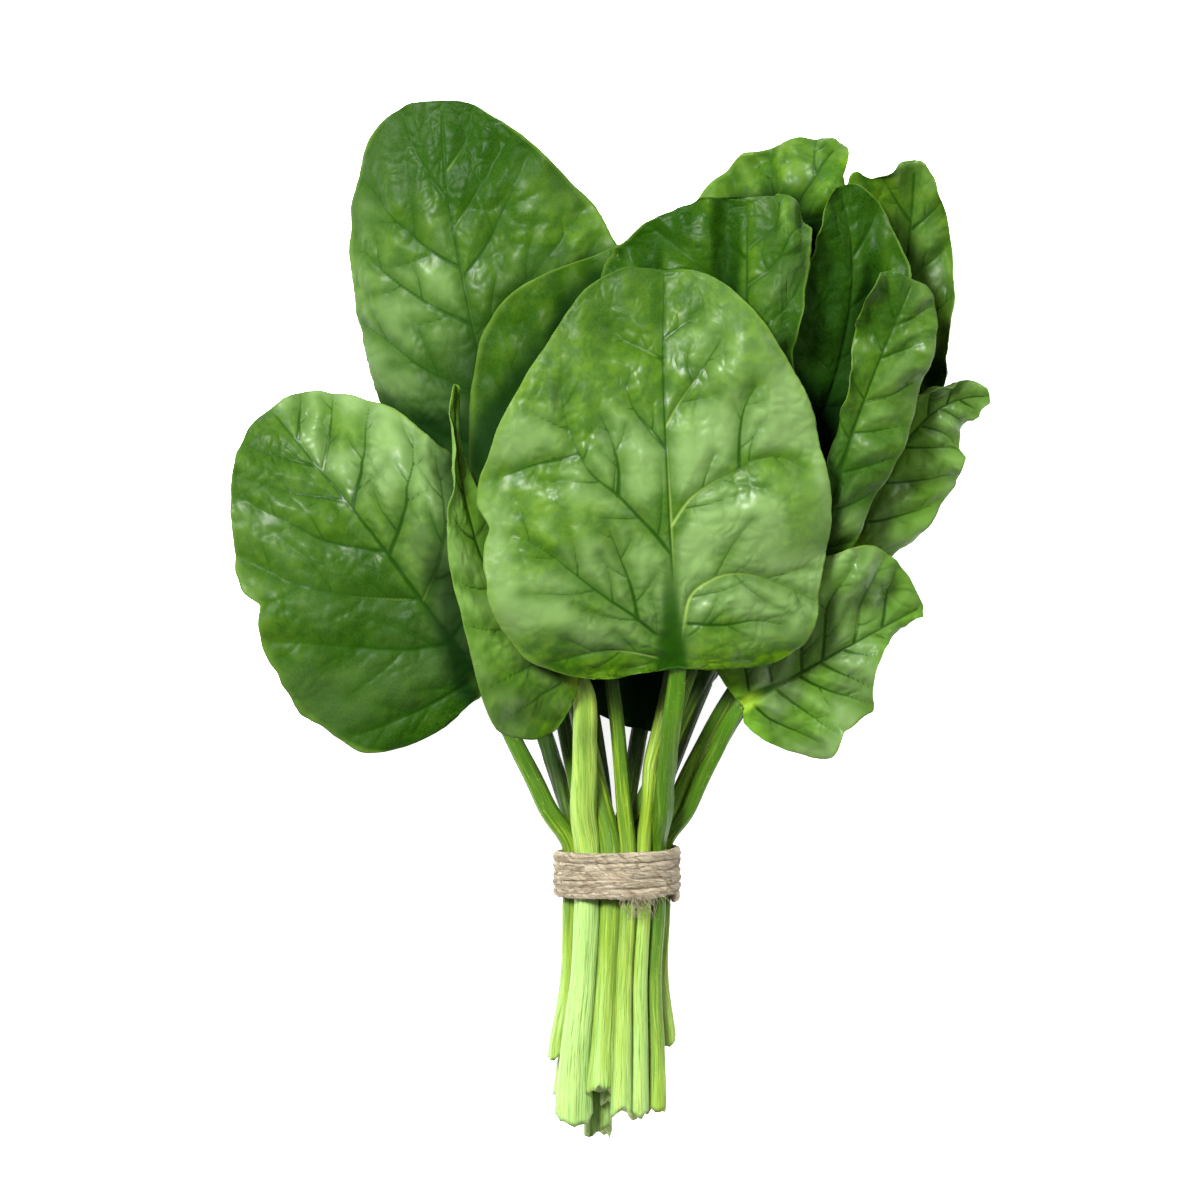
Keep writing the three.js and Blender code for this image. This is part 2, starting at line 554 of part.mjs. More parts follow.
// ---------------------------------------------------------------- how the leaves settle

// A map of heights over the table, for what lies on what.
class HeightMap {
  constructor() {
    this.values = new Float64Array(MAP_CELLS[0] * MAP_CELLS[1]);
  }

  index(x, y) {
    const column = clamp(Math.floor((x - MAP_MIN[0]) / CELL), 0, MAP_CELLS[0] - 1);
    const row = clamp(Math.floor((y - MAP_MIN[1]) / CELL), 0, MAP_CELLS[1] - 1);
    return row * MAP_CELLS[0] + column;
  }

  raise(x, y, height) {
    const k = this.index(x, y);
    this.values[k] = Math.max(this.values[k], height);
  }

  // The height in the cell that a place is in.
  cellAt(x, y) {
    return this.values[this.index(x, y)];
  }

  // The height at a place, from the middles of the four cells round it.
  at(x, y) {
    const u = clamp((x - MAP_MIN[0]) / CELL - 0.5, 0, MAP_CELLS[0] - 1.001);
    const v = clamp((y - MAP_MIN[1]) / CELL - 0.5, 0, MAP_CELLS[1] - 1.001);
    const [column, row] = [Math.floor(u), Math.floor(v)];
    const near = row * MAP_CELLS[0] + column;
    const far = near + MAP_CELLS[0];
    const low = lerp(this.values[near], this.values[near + 1], u - column);
    const high = lerp(this.values[far], this.values[far + 1], u - column);
    return lerp(low, high, v - row);
  }

  // Each cell becomes the result of combine over the cells within reach, along X and then Y.
  filter(reach, combine) {
    this.filterLines(reach, combine, MAP_CELLS[1], MAP_CELLS[0], MAP_CELLS[0], 1);
    this.filterLines(reach, combine, MAP_CELLS[0], 1, MAP_CELLS[1], MAP_CELLS[0]);
  }

  filterLines(reach, combine, lines, from_line_to_line, cells, from_cell_to_cell) {
    for (let line = 0; line < lines; line++) {
      const indices = Array.from({ length: cells }, (_, i) => {
        return line * from_line_to_line + i * from_cell_to_cell;
      });
      const combined = overWindows(indices.map((k) => this.values[k]), reach, combine);
      combined.forEach((value, i) => {
        this.values[indices[i]] = value;
      });
    }
  }
}

// Each entry of a list becomes the result of combine over the entries within reach.
function overWindows(list, reach, combine) {
  return list.map((_, i) => combine(list.slice(Math.max(i - reach, 0), i + reach + 1)));
}

// Points all over the blade, close enough together to reach every cell that it covers.
function bladePoints(leaf) {
  const points = [];
  for (let i = 0; i <= SAMPLE_ROWS; i++) {
    for (let j = -SAMPLE_COLUMNS; j <= SAMPLE_COLUMNS; j++) {
      const { x, y, z } = blade(leaf, i / SAMPLE_ROWS, j / SAMPLE_COLUMNS);
      points.push({ x, y, z, radius: 0 });
    }
  }
  return points;
}

// Points across the stalk all along it, above the twine.
function stalkPoints(leaf) {
  const line = stalkLine(leaf, FINE_STEPS).filter(({ place }) => place.y > 0);
  return line.flatMap(({ place, way, u }) => {
    const radius = stalkRadius(leaf, way);
    const shares = [-1, -0.5, 0, 0.5, 1];
    return shares.map((share) => ({ x: place.x + share * radius, y: place.y, z: place.z, radius, way, u }));
  });
}

// How far a point has to rise to lie on the heap, or 0 where there is nothing below it.
function riseOver(heap, { x, y, z, radius }) {
  const height = heap.cellAt(x, y);
  return height > 0 ? Math.max(height + LAYER_GAP + radius - z, 0) : 0;
}

// Lifts the leaf until it lies on what is below it, and adds it to the heap.
function settle(leaf, heap) {
  leaf.lift = new HeightMap();
  leaf.rise = new Array(RISE_STEPS + 1).fill(0);

  const lift = new HeightMap();
  const rib = stalkPoints(leaf).filter(({ way }) => way >= 1);
  for (const point of [...bladePoints(leaf), ...rib]) {
    lift.raise(point.x, point.y, riseOver(heap, point));
  }
  lift.filter(SPREAD_CELLS, largest);
  lift.filter(SMOOTH_CELLS, mean);
  lift.filter(SMOOTH_CELLS, mean);
  leaf.lift = lift;

  const rise = leaf.rise.slice();
  for (const point of stalkPoints(leaf).filter(({ u }) => u !== undefined && u < 1)) {
    const k = Math.round(point.u * RISE_STEPS);
    rise[k] = Math.max(rise[k], riseOver(heap, point));
  }
  const spread = overWindows(rise, RISE_SPREAD, largest);
  const smooth = overWindows(overWindows(spread, RISE_SPREAD, mean), RISE_SPREAD, mean);
  leaf.rise = smooth.map((height, i) => {
    return height * smoothstep(Math.min(i, RISE_STEPS - i), 0, RISE_SPREAD);
  });

  for (const { x, y, z } of bladePoints(leaf)) heap.raise(x, y, z + BLADE_THICKNESS / 2);
  for (const { x, y, z, radius } of stalkPoints(leaf)) heap.raise(x, y, z + radius);
}

// ---------------------------------------------------------------- the twine

// The twine's middle line: a helix round the bundle, from below it on the leaves' side.
class TwineCurve extends THREE.Curve {
  getPoint(share, target = new THREE.Vector3()) {
    const angle = 2 * Math.PI * TWINE_TURNS * share - Math.PI / 2;
    return target.set(
      (NECK_HALF_WIDTH + TWINE_SLACK + TWINE_RADIUS) * Math.cos(angle),
      TWINE_PITCH * TWINE_TURNS * (0.5 - share) - TWINE_SAG * Math.sin(angle),
      NECK_CENTRE_Z + (NECK_HALF_HEIGHT + TWINE_SLACK + TWINE_RADIUS) * Math.sin(angle),
    );
  }
}

// The cord is flattened where the bunch rests on it.
function twineGeometry() {
  const first_corner = Math.PI / TWINE_SIDES;
  const section = new THREE.Shape();
  section.absarc(0, 0, TWINE_RADIUS, first_corner, first_corner + 2 * Math.PI);
  const geometry = new THREE.ExtrudeGeometry(section, {
    steps: Math.round(TWINE_TURNS * TWINE_STEPS_PER_TURN),
    curveSegments: TWINE_SIDES / 2,
    extrudePath: new TwineCurve(),
  });
  const position = geometry.getAttribute("position");
  for (let i = 0; i < position.count; i++) {
    position.setZ(i, Math.max(position.getZ(i), 0));
  }
  geometry.deleteAttribute("normal");
  geometry.deleteAttribute("uv");
  return mergeVertices(geometry);
}

// ---------------------------------------------------------------- the bunch

const BLADE_LOOK = { color: 0x2f6b1c, roughness: 0.45, metalness: 0 };
const STALK_LOOK = { color: 0xa9cf62, roughness: 0.5, metalness: 0 };
const TWINE_LOOK = { color: 0xc9b48c, roughness: 0.95, metalness: 0 };

const bunch = new THREE.Group();

function add(name, geometry, look) {
  const mesh = new THREE.Mesh(geometry, new THREE.MeshStandardMaterial(look));
  mesh.name = name;
  bunch.add(mesh);
}

bundleStalks();
const heap = new HeightMap();
for (const leaf of LEAVES) {
  settle(leaf, heap);
  add(`${leaf.name}_blade`, bladeGeometry(leaf), BLADE_LOOK);
  add(`${leaf.name}_stalk`, stalkGeometry(leaf), STALK_LOOK);
}
add("twine", twineGeometry(), TWINE_LOOK);

export default bunch;
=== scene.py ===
"""The look of a bunch of spinach tied with jute twine, lying on a table.

The leaves, stalks and twine are made again, much finer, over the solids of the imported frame, by
the same formulas and from the same dimensions. Shapes are worked out in millimetres, +Z up and +Y
from the cut ends to the tips, and are turned into metres when a mesh is made. Each leaf is two
pieces, its blade and its stalk. Blades and stalks carry their markings as attributes: where the
veins run, how far a point is from the edge, and so on, which their materials turn into colour.
"""

import math

import bpy
import numpy as np
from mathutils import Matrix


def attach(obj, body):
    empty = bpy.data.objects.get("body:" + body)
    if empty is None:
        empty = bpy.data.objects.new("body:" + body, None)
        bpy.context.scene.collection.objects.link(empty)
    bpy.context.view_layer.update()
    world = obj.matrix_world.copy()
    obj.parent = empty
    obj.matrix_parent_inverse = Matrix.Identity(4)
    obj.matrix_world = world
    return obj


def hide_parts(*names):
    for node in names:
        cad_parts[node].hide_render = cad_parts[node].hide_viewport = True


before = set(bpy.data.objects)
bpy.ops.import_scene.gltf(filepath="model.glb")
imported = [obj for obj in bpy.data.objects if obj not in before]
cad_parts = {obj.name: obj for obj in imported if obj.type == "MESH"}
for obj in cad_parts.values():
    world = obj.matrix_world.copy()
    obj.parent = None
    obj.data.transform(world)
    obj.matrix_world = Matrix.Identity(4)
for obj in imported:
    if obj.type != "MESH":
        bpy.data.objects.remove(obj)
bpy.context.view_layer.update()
MM = 0.001
DETAIL = 1.0  # of the meshes

# ---------------------------------------------------------------- dimensions, as in the solids

BLADE_THICKNESS = 0.8
END_ROUNDING = 0.7  # of the outline at the blade's base and tip: under 1 is blunt
LOBE_END = 0.3  # how far along the outline a basal lobe reaches
VEIN_SLANT = 0.2  # how far back from the edge the side veins start
TOOTH_ROUNDING = 1.4  # of the points and notches in the outline: 1 is sharp, 2 is round
TOOTH_ORIGIN = 0.45  # the place on the midrib that the points turn away from
RIPPLE_ONSET = 2.4  # how much of the ruffle stays near the edge
RIPPLE_PHASES = (1.1, 3.4)  # radians, of the left and the right edge

CUT_FLARE = 0.22  # how much wider a stalk is at its cut end
CUT_FLARE_END = 0.35  # where that flare ends, on the way from the cut to the blade
BLADE_END_TAPER = 0.84  # the radius where the blade starts, as a share of that at the twine
LEAVING_PULL = 0.8  # how straight a stalk leaves the bundle, as a share of its reach
ARRIVING_PULL = 0.7  # and how straight it runs into the blade
RIB_GAP = 0.35  # between the midrib and the blade that it carries
RIB_END = 0.72  # where the midrib fades out, as a share of the blade's length
RIB_TIP_RADIUS = 0.55
RIB_TAPER = 0.7  # under 1 the midrib thins soonest near the blade's base

TWINE_RADIUS = 1.15
TWINE_TURNS = 5.3
TWINE_PITCH = 2.45
TWINE_SLACK = 0.55  # between the twine and the stalks
TWINE_SAG = 1.2  # how far the turns slip towards the leaves below and the cut ends on top
TWINE_REACH = 10  # on each side of the twine's middle, where the stalks run straight
RESTING_SQUASH = 0.8  # how far the twine is flattened on the table
NECK_HALF_WIDTH = 15.2
NECK_HALF_HEIGHT = 10.4
NECK_CENTRE_Z = NECK_HALF_HEIGHT + TWINE_SLACK + 2 * TWINE_RADIUS - RESTING_SQUASH
STALK_GAP = 0.5
CUT_END = 75  # below every cut
BUNDLE_END = 37  # the stalks lie side by side as far as this
EARLY_RISE_SPAN = (10, 42)  # Y where a stalk that has to lie over others starts to rise
BUNDLE_STATIONS = (-CUT_END, -50, -30, -9, 9, 16, 23, 30, BUNDLE_END)
CUT_SQUEEZE = 0.82  # how much closer together the stalks are at their cut ends
CUT_LEAN = 0.03  # sideways, for each millimetre below the twine
CUT_DROP = 0.04  # towards the table
SPREAD_START = 0.7  # how soon the stalks part above the twine: 1 is evenly
PACKING_ROUNDS = 500

LAYER_GAP = 2.2  # from the top of what a leaf lies on to its middle
TABLE_SOFTNESS = 1.2  # how gently a leaf bends where it meets the table
TABLE_PRESS = 0.25  # how far its underside is flattened there
SAMPLE_ROWS = 110  # of the points where a blade may touch the heap
SAMPLE_COLUMNS = 50
RISE_STEPS = 30  # of a stalk between the bundle and the blade
RISE_SPREAD = 3  # steps
SOLID_REACH_STEPS = 6  # of the same stretch in the solids
SETTLING_STEPS = dict(below=30, bundle=20, reach=RISE_STEPS, rib=60)
CELL = 2  # of the height map that the leaves settle on
MAP_MIN = (-130, -90)
MAP_CELLS = (130, 165)
SPREAD_CELLS = 5  # how far a leaf lifts before the edge that it lies on
SMOOTH_CELLS = 2

# The leaves, lowest first:
# ring     where the stalk passes through the twine, across and up from the bundle's middle
# radius   of the stalk at the twine
# cut      Y of the cut end
# midrib   four control points of the midrib's curve, from the blade's base to its tip
# left     the blade's widths on the left of the midrib, at each of WIDTH_PLACES
# right    the same on the right
# lobe     how far the base reaches back past the stalk, as a share of the length
# roll     degrees that the blade is turned about its midrib, at the base and the tip
# fold     degrees that both halves rise from the midrib
# curl     degrees that each half turns up (+) or down (-) to its edge: (left, right), each
#          at the base and the tip
# ruffle   of the wavy edge: height, number of waves, and radians that they are shifted
# teeth    each point (+) or notch (-) in the outline: side (-1 left, 1 right), place, size, spread
LEAF_KEYS = ("name", "ring", "radius", "cut", "midrib", "left", "right", "lobe", "roll", "fold",
             "curl", "ruffle", "teeth")
WIDTH_PLACES = np.array([0.1, 0.3, 0.5, 0.7, 0.9])
LEAVES = [dict(zip(LEAF_KEYS, values)) for values in (
    ("leaf_01", (-9, -5.5), 2.4, -64,
     [(-28, 60, 2), (-42, 74, -2.5), (-54, 88, -2.5), (-68, 104, 1)], [11, 24, 26, 20, 9],
     [11, 22, 24, 19, 8], 0.04, (180, 180), 4, ((-10, -10), (-10, -10)), (3.2, 3, 2.8), []),
    ("leaf_02", (-4, -8), 2.4, -60,
     [(-18, 84, 3), (-26, 112, -2.5), (-34, 140, -2.5), (-38, 178, 2)], [11, 22, 24, 19, 8],
     [13, 28, 30, 24, 10], 0.04, (180, 180), 4, ((-15, -12), (-10, -10)), (3.2, 3, 2.8), []),
    ("leaf_03", (2, -8.5), 2.3, -66, [(16, 84, 3), (26, 112, -2.5), (38, 140, -2.5), (48, 174, 2)],
     [11, 24, 26, 21, 9], [11, 24, 26, 21, 9], 0.04, (180, 180), 4, ((-10, -12), (-15, -10)),
     (3.2, 3.5, 1.9), []),
    ("leaf_04", (7, -7), 2.3, -62, [(30, 62, 2), (44, 76, -2.5), (56, 90, -2.5), (70, 106, 1)],
     [10, 21, 23, 18, 8], [8, 17, 18, 15, 7], 0.04, (180, 180), 4, ((-10, -10), (-10, -10)),
     (3.2, 3, 1.9), []),
    ("leaf_05", (-4.5, -2), 2.5, -72.8, [(-7, 45.6, 9), (-6, 78, 12), (-5, 112, 12), (-4, 150, 9)],
     [20, 33, 34, 25, 9], [20, 33, 34, 25, 9], 0.09, (0, 0), 4, ((-12, -12), (-12, -12)),
     (1.6, 4, 3.7), []),
    ("leaf_06", (-10, -1), 2.1, -63,
     [(-24, 76, 10), (-38, 104, 12), (-49, 132, 12), (-53, 166, 8)], [9, 18, 21, 16, 7],
     [9, 19, 22, 17, 7], 0.03, (-8, -12), 5, ((-20, -20), (-10, -10)), (2.2, 3, 0.1),
     [(-1, 0.55, 0.14, 0.05)]),
    ("leaf_07", (-1.5, 6.8), 2.8, -61.6,
     [(-25, 99, 16), (-36, 133, 24), (-49.6, 180, 28), (-49, 217.8, 20)], [19, 35, 37, 31, 14],
     [20, 42, 47, 33, 11], 0.02, (-10, -6), 6, ((-60, -50), (-14, -22)), (2.4, 3.5, 0.1),
     [(-1, 0.3, -0.1, 0.05)]),
    ("leaf_08", (3.5, -3), 2.3, -64, [(43, 88, 16), (66, 122, 20), (84, 154, 26), (83, 200, 40)],
     [11, 25, 30, 24, 9], [9, 20, 23, 14, 5], 0.02, (12, 0), 8, ((20, 10), (50, 50)), (3, 4, 1.9),
     [(-1, 0.8, 0.16, 0.05), (-1, 0.62, -0.08, 0.05)]),
    ("leaf_09", (8.2, 6.2), 1.9, -67.8,
     [(22, 104, 22), (28, 138, 36), (41, 180, 40), (62.5, 205, 32)], [11, 24, 29, 22, 6],
     [9, 20, 24, 18, 6], 0.02, (-6, -10), 8, ((-30, -30), (10, 10)), (2.2, 4, 4.5),
     [(1, 0.86, -0.1, 0.04)]),
    ("leaf_10", (-13.2, 2.5), 2.5, -51.8,
     [(-37.2, 51.2, 16), (-52.4, 74.2, 24), (-77.6, 108, 24), (-98, 131, 12)],
     [25, 45, 44, 31, 12], [22, 37, 38, 28, 12], 0.05, (-4, 8), 5, ((-14, -26), (-58, -58)),
     (1.8, 3, 3.7), [(-1, 0.56, -0.09, 0.025)]),
    ("leaf_11", (9.5, -3.5), 2.3, -60,
     [(64, 88, 26), (76, 112, 32), (84, 136, 36), (104.4, 134, 34)], [6, 11, 12, 8, 3],
     [9, 16, 18, 11, 3], 0.02, (20, 15), 12, ((40, 40), (-20, -20)), (2.6, 4, 1.9), []),
    ("leaf_12", (2.5, 1.5), 2.0, -65, [(48, 99, 30), (58, 133, 40), (72, 161, 48), (62, 192, 52)],
     [6, 14, 17, 14, 5], [7, 15, 19, 15, 6], 0.02, (6, 18), 10, ((10, 10), (60, 80)),
     (1.8, 3, 5.4), []),
    ("leaf_13", (4.2, 7.8), 2.0, -67.8,
     [(-3, 74, 28), (-8, 105, 38), (-10, 140, 42), (3, 176, 36)], [16, 30, 35, 30, 5],
     [17, 32, 36, 28, 11], 0.03, (-8, 0), 5, ((-20, -20), (-14, -10)), (1.8, 3, 5.4), []),
    ("leaf_14", (7, 1), 2.0, -65, [(33, 92, 38), (36, 127, 50), (37, 161, 56), (36, 189, 50)],
     [14, 36, 46, 41, 20], [5, 11, 13, 18, 14], 0.02, (-8, -6), 7, ((-26, -26), (-40, -40)),
     (3.2, 5, 5.4), []),
    ("leaf_15", (11, 0.5), 2.0, -64, [(55, 88, 38), (62, 116, 48), (72, 142, 54), (82, 166, 52)],
     [2, 4, 6, 11, 10], [6, 12, 15, 13, 7], 0.02, (0, 10), 10, ((30, 20), (-20, -20)),
     (2.4, 4, 5.4), []),
    ("leaf_16", (14, -0.5), 2.2, -48, [(35, 47.3, 26), (50, 55, 34), (68, 66, 36), (86, 75.6, 28)],
     [14, 26, 28, 24, 16], [5, 24, 19, 4, 2], 0.05, (6, 0), 6, ((-12, -16), (-20, -30)),
     (3, 4, 1.0), [(1, 0.53, 0.12, 0.03), (1, 0.42, -0.15, 0.04)]),
    ("leaf_17", (-7.6, 6.5), 3.4, -69.4,
     [(-10, 55, 30), (-30, 66, 38), (-46, 94, 40), (-45.5, 137.5, 38)], [16, 22, 15, 8, 3],
     [8, 9, 7, 4, 2], 0.03, (0, 70), 8, ((-20, 40), (-20, 20)), (1.4, 3, 5.5),
     [(-1, 0.3, 0.2, 0.07)]),
    ("leaf_18", (11.8, 4.6), 2.6, -66.5,
     [(17.1, 58, 46), (15.4, 88.2, 62), (12, 127.4, 66), (13.2, 169, 54)], [30, 50, 54, 35, 17],
     [26, 42, 45, 34, 15], 0.03, (0, 0), 5, ((-18, -14), (-26, -30)), (1.8, 3.5, 5.5),
     [(-1, 0.44, -0.08, 0.04)]),
)]


# ---------------------------------------------------------------- small helpers


def lerp(a, b, share):
    return a + (b - a) * share


def smoothstep(x, low, high):
    share = np.clip((x - low) / (high - low), 0, 1)
    return share * share * (3 - 2 * share)


def unit(vectors):
    return vectors / np.maximum(np.linalg.norm(vectors, axis=-1, keepdims=True), 1e-9)


def hermite_shares(u):
    """The shares of the start, its slope, the end and its slope on a smooth step between them."""
    return 2 * u**3 - 3 * u**2 + 1, u**3 - 2 * u**2 + u, 3 * u**2 - 2 * u**3, u**3 - u**2


def smooth_at(values, k, u):
    """The height of a smooth line through the values, a share u of the way on from entry k."""
    last = len(values) - 1
    a, b, c, d = (values[np.clip(k + i, 0, last)] for i in (-1, 0, 1, 2))
    start, leaving, end, arriving = hermite_shares(u)
    return start * b + leaving * (c - a) / 2 + end * c + arriving * (d - b) / 2


def length_along(line):
    """How far each point of a line is from its start."""
    return np.append(0, np.cumsum(np.linalg.norm(np.diff(line, axis=0), axis=1)))


def hump(away, reach, power=2):
    """1 in the middle, falling off to 0 beyond the reach."""
    return np.exp(-((np.abs(away) / reach) ** power))


def noise(x, y, seed):
    """Smooth random heights from -1 to 1, with bumps about one unit across."""
    lattice = np.random.default_rng(seed).uniform(-1, 1, (64, 64))
    i, j = np.floor(x).astype(int), np.floor(y).astype(int)
    u, v = smoothstep(x - i, 0, 1), smoothstep(y - j, 0, 1)
    near = lerp(lattice[i % 64, j % 64], lattice[(i + 1) % 64, j % 64], u)
    far = lerp(lattice[i % 64, (j + 1) % 64], lattice[(i + 1) % 64, (j + 1) % 64], u)
    return lerp(near, far, v)


def cell_borders(x, y, seed):
    """How far points are from the borders of irregular cells about one unit across."""
    shifts = np.random.default_rng(seed).uniform(0.12, 0.88, (64, 64, 2))
    i, j = np.floor(x).astype(int), np.floor(y).astype(int)
    nearest, second = np.full_like(x, 9.0), np.full_like(x, 9.0)
    for di in (-1, 0, 1):
        for dj in (-1, 0, 1):
            shift = shifts[(i + di) % 64, (j + dj) % 64]
            away = np.hypot(i + di + shift[..., 0] - x, j + dj + shift[..., 1] - y)
            second = np.minimum(second, np.maximum(nearest, away))
            nearest = np.minimum(nearest, away)
    return second - nearest


# ---------------------------------------------------------------- the shape of a blade


def width_at(values, along):
    """A smooth line through the values at WIDTH_PLACES, level beyond the first and the last."""
    last = len(values) - 1
    at = np.array(values) / np.sin(np.pi * WIDTH_PLACES) ** END_ROUNDING
    u = np.clip((along - WIDTH_PLACES[0]) / (WIDTH_PLACES[1] - WIDTH_PLACES[0]), 0, last)
    k = np.minimum(np.floor(u).astype(int), last - 1)
    return smooth_at(at, k, u - k)


def flat(leaf, along, across):
    """A point's distance from the midrib, and its way along it as a share of the length."""
    left = across < 0
    ends = np.maximum(np.sin(np.pi * along), 0) ** END_ROUNDING
    widths = np.where(left, width_at(leaf["left"], along), width_at(leaf["right"], along))
    width = ends * widths
    middle = (1 - np.cos(np.pi * along)) / 2
    backing = np.minimum(along / LOBE_END, 1)
    edge = middle - leaf["lobe"] * 4 * backing * (1 - backing)
    for side, place, size, spread in leaf["teeth"]:
        away = (np.abs(along - place) / spread) ** TOOTH_ROUNDING
        tooth = size * np.exp(-away) * (left == (side < 0))
        width = width * (1 + tooth)
        edge = edge + (edge - TOOTH_ORIGIN) * tooth
    root = middle * (1 - VEIN_SLANT * (1 - along))
    share = np.abs(across)
    return share * width, lerp(root, edge, share)


def midrib(leaf, t):
    """The midrib's curve and the frame that goes along it: place, right and upper side."""
    a, b, c, d = np.array(leaf["midrib"], float)
    u = np.clip(t, 0, 1)[..., None]
    v = 1 - u
    slope = 3 * v * v * (b - a) + 6 * v * u * (c - b) + 3 * u * u * (d - c)
    place = v**3 * a + 3 * v * v * u * b + 3 * v * u * u * c + u**3 * d
    place = place + slope * (t[..., None] - u)
    level_right = unit(np.cross(slope, (0, 0, 1)))
    level_upper = unit(np.cross(level_right, slope))
    roll = np.radians(lerp(leaf["roll"][0], leaf["roll"][1], u))
    right = level_right * np.cos(roll) - level_upper * np.sin(roll)
    upper = level_upper * np.cos(roll) + level_right * np.sin(roll)
    return place, right, upper


def blade_as_grown(leaf, along, across):
    """The blade's middle surface before the leaf has settled. across runs from -1 to 1."""
    along, across = np.broadcast_arrays(np.asarray(along, float), np.asarray(across, float))
    left = across < 0
    distance, t = flat(leaf, along, across)
    place, right, upper = midrib(leaf, t)
    (left_base, left_tip), (right_base, right_tip) = leaf["curl"]
    curl = np.where(left, lerp(left_base, left_tip, along), lerp(right_base, right_tip, along))
    bend = np.radians(curl) / np.where(left, max(leaf["left"]), max(leaf["right"]))
    bend = np.where(np.abs(bend) > 1e-6, bend, 1e-6)
    start = math.radians(leaf["fold"])
    end = start + bend * distance
    outward = (np.sin(end) - np.sin(start)) / bend * np.where(left, -1, 1)
    upward = (np.cos(start) - np.cos(end)) / bend
    height, waves, shift = leaf["ruffle"]
    phase = 2 * np.pi * waves * along + np.where(left, *RIPPLE_PHASES) + shift
    ripple = height * np.abs(across) ** RIPPLE_ONSET * np.sin(phase) * np.sin(np.pi * along)
    return place + right * outward[..., None] + upper * (upward + ripple)[..., None]


def pressed(z, lowest):
    """A height that the table holds up."""
    above = z - lowest
    return lowest + (above + np.hypot(above, TABLE_SOFTNESS)) / 2


def blade(leaf, along, across):
    """The blade's middle surface once it lies on the table or on the leaves below it."""
    points = blade_as_grown(leaf, along, across)
    lift = leaf["lift"].at(points[..., 0], points[..., 1])
    points[..., 2] = pressed(points[..., 2], BLADE_THICKNESS / 2 - TABLE_PRESS) + lift
    return points


def blade_normal(leaf, along):
    """The way that the blade's upper face looks beside the midrib."""
    step = 0.004
    along = np.clip(np.asarray(along, float), 0.03, 0.97)
    lengthwise = blade(leaf, along + step, 0) - blade(leaf, along - step, 0)
    crosswise = blade(leaf, along, step) - blade(leaf, along, -step)
    return unit(np.cross(crosswise, lengthwise))


# ---------------------------------------------------------------- the course of a stalk
#
# Its way runs from 0 at the cut through 0.5 at the twine and 1 at the blade's base to 2 at the
# midrib's end.


def stalk_radius(leaf, way):
    thinning = np.maximum(way - 1, 0) ** RIB_TAPER
    rib = lerp(leaf["radius"] * BLADE_END_TAPER, RIB_TIP_RADIUS, thinning)
    taper = lerp(1, BLADE_END_TAPER, smoothstep(way, 0.5, 1))
    flare = lerp(1 + CUT_FLARE, 1, smoothstep(way, 0, CUT_FLARE_END))
    return np.where(way > 1, rib, leaf["radius"] * taper * flare)


def in_bundle(leaf, y):
    """Where the stalk runs within the bundle at a Y."""
    stations = BUNDLE_STATIONS
    k = int(np.clip(np.searchsorted(stations, y) - 1, 0, len(stations) - 2))
    u = (y - stations[k]) / (stations[k + 1] - stations[k])
    x, z = smooth_at(leaf["bundle"], k, u)
    return np.array([x, y, z])


def under_blade(leaf, along, normal, radius, gap):
    """Where the middle line of the stalk runs below the blade, as its rib."""
    depth = BLADE_THICKNESS / 2 + lerp(0.1, gap, smoothstep(along, 0, 0.15)) + radius
    return blade(leaf, along, 0) - normal * np.asarray(depth)[..., None]


def stalk_line(leaf, steps, gap=RIB_GAP):
    """The stalk's middle line and its upper side, and for each point its way and, between the
    bundle and the blade, how far it has come from one to the other."""
    up = np.array([0.0, 0.0, 1.0])
    below = np.arange(steps["below"]) / steps["below"]
    places = [in_bundle(leaf, leaf["cut"] * (1 - share)) for share in below]
    ways = list(0.5 * below)

    base_normal = blade_normal(leaf, 0)
    base = under_blade(leaf, 0, base_normal, stalk_radius(leaf, 1), gap)
    for i in range(steps["bundle"]):
        y = BUNDLE_END * i / steps["bundle"]
        rise = leaf["early_rise"] * smoothstep(y, *EARLY_RISE_SPAN)
        places.append(in_bundle(leaf, y) + up * rise)
        ways.append(0.5 + 0.5 * y / base[1])
    uppers = [up] * len(places)
    reached = [np.nan] * len(places)

    leave = in_bundle(leaf, BUNDLE_END)
    at_leaving = leaf["early_rise"] * smoothstep(BUNDLE_END, *EARLY_RISE_SPAN)
    reach = np.linalg.norm(base - leave)
    leaving = unit(leave - in_bundle(leaf, BUNDLE_END - 4)) * LEAVING_PULL * reach
    arriving = unit(blade(leaf, 0.2, 0) - blade(leaf, 0, 0)) * ARRIVING_PULL * reach
    for i in range(steps["reach"] + 1):
        u = i / steps["reach"]
        shares = hermite_shares(u)
        place = sum(s * p for s, p in zip(shares, (leave, leaving, base, arriving)))
        rise = np.interp(u * RISE_STEPS, np.arange(RISE_STEPS + 1), leaf["rise"])
        rise = rise + (at_leaving - leaf["early_rise"]) * (1 - smoothstep(u, 0, 0.1))
        place[2] = max(place[2] + rise, leaf["radius"])
        places.append(place)
        uppers.append(lerp(up, base_normal, smoothstep(u, 0.3, 1)))
        ways.append(0.5 + 0.5 * lerp(BUNDLE_END, base[1], u) / base[1])
        reached.append(u)

    way = 1 + np.arange(1, steps["rib"] + 1) / steps["rib"]
    along = np.arccos(1 - 2 * RIB_END * (way - 1)) / np.pi
    normals = blade_normal(leaf, along)
    ribs = under_blade(leaf, along, normals, stalk_radius(leaf, way), gap)
    places = np.vstack([places, ribs])
    uppers = np.vstack([uppers, normals])
    return places, uppers, np.append(ways, way), np.append(reached, way * np.nan)


# ---------------------------------------------------------------- how the stalks are bundled


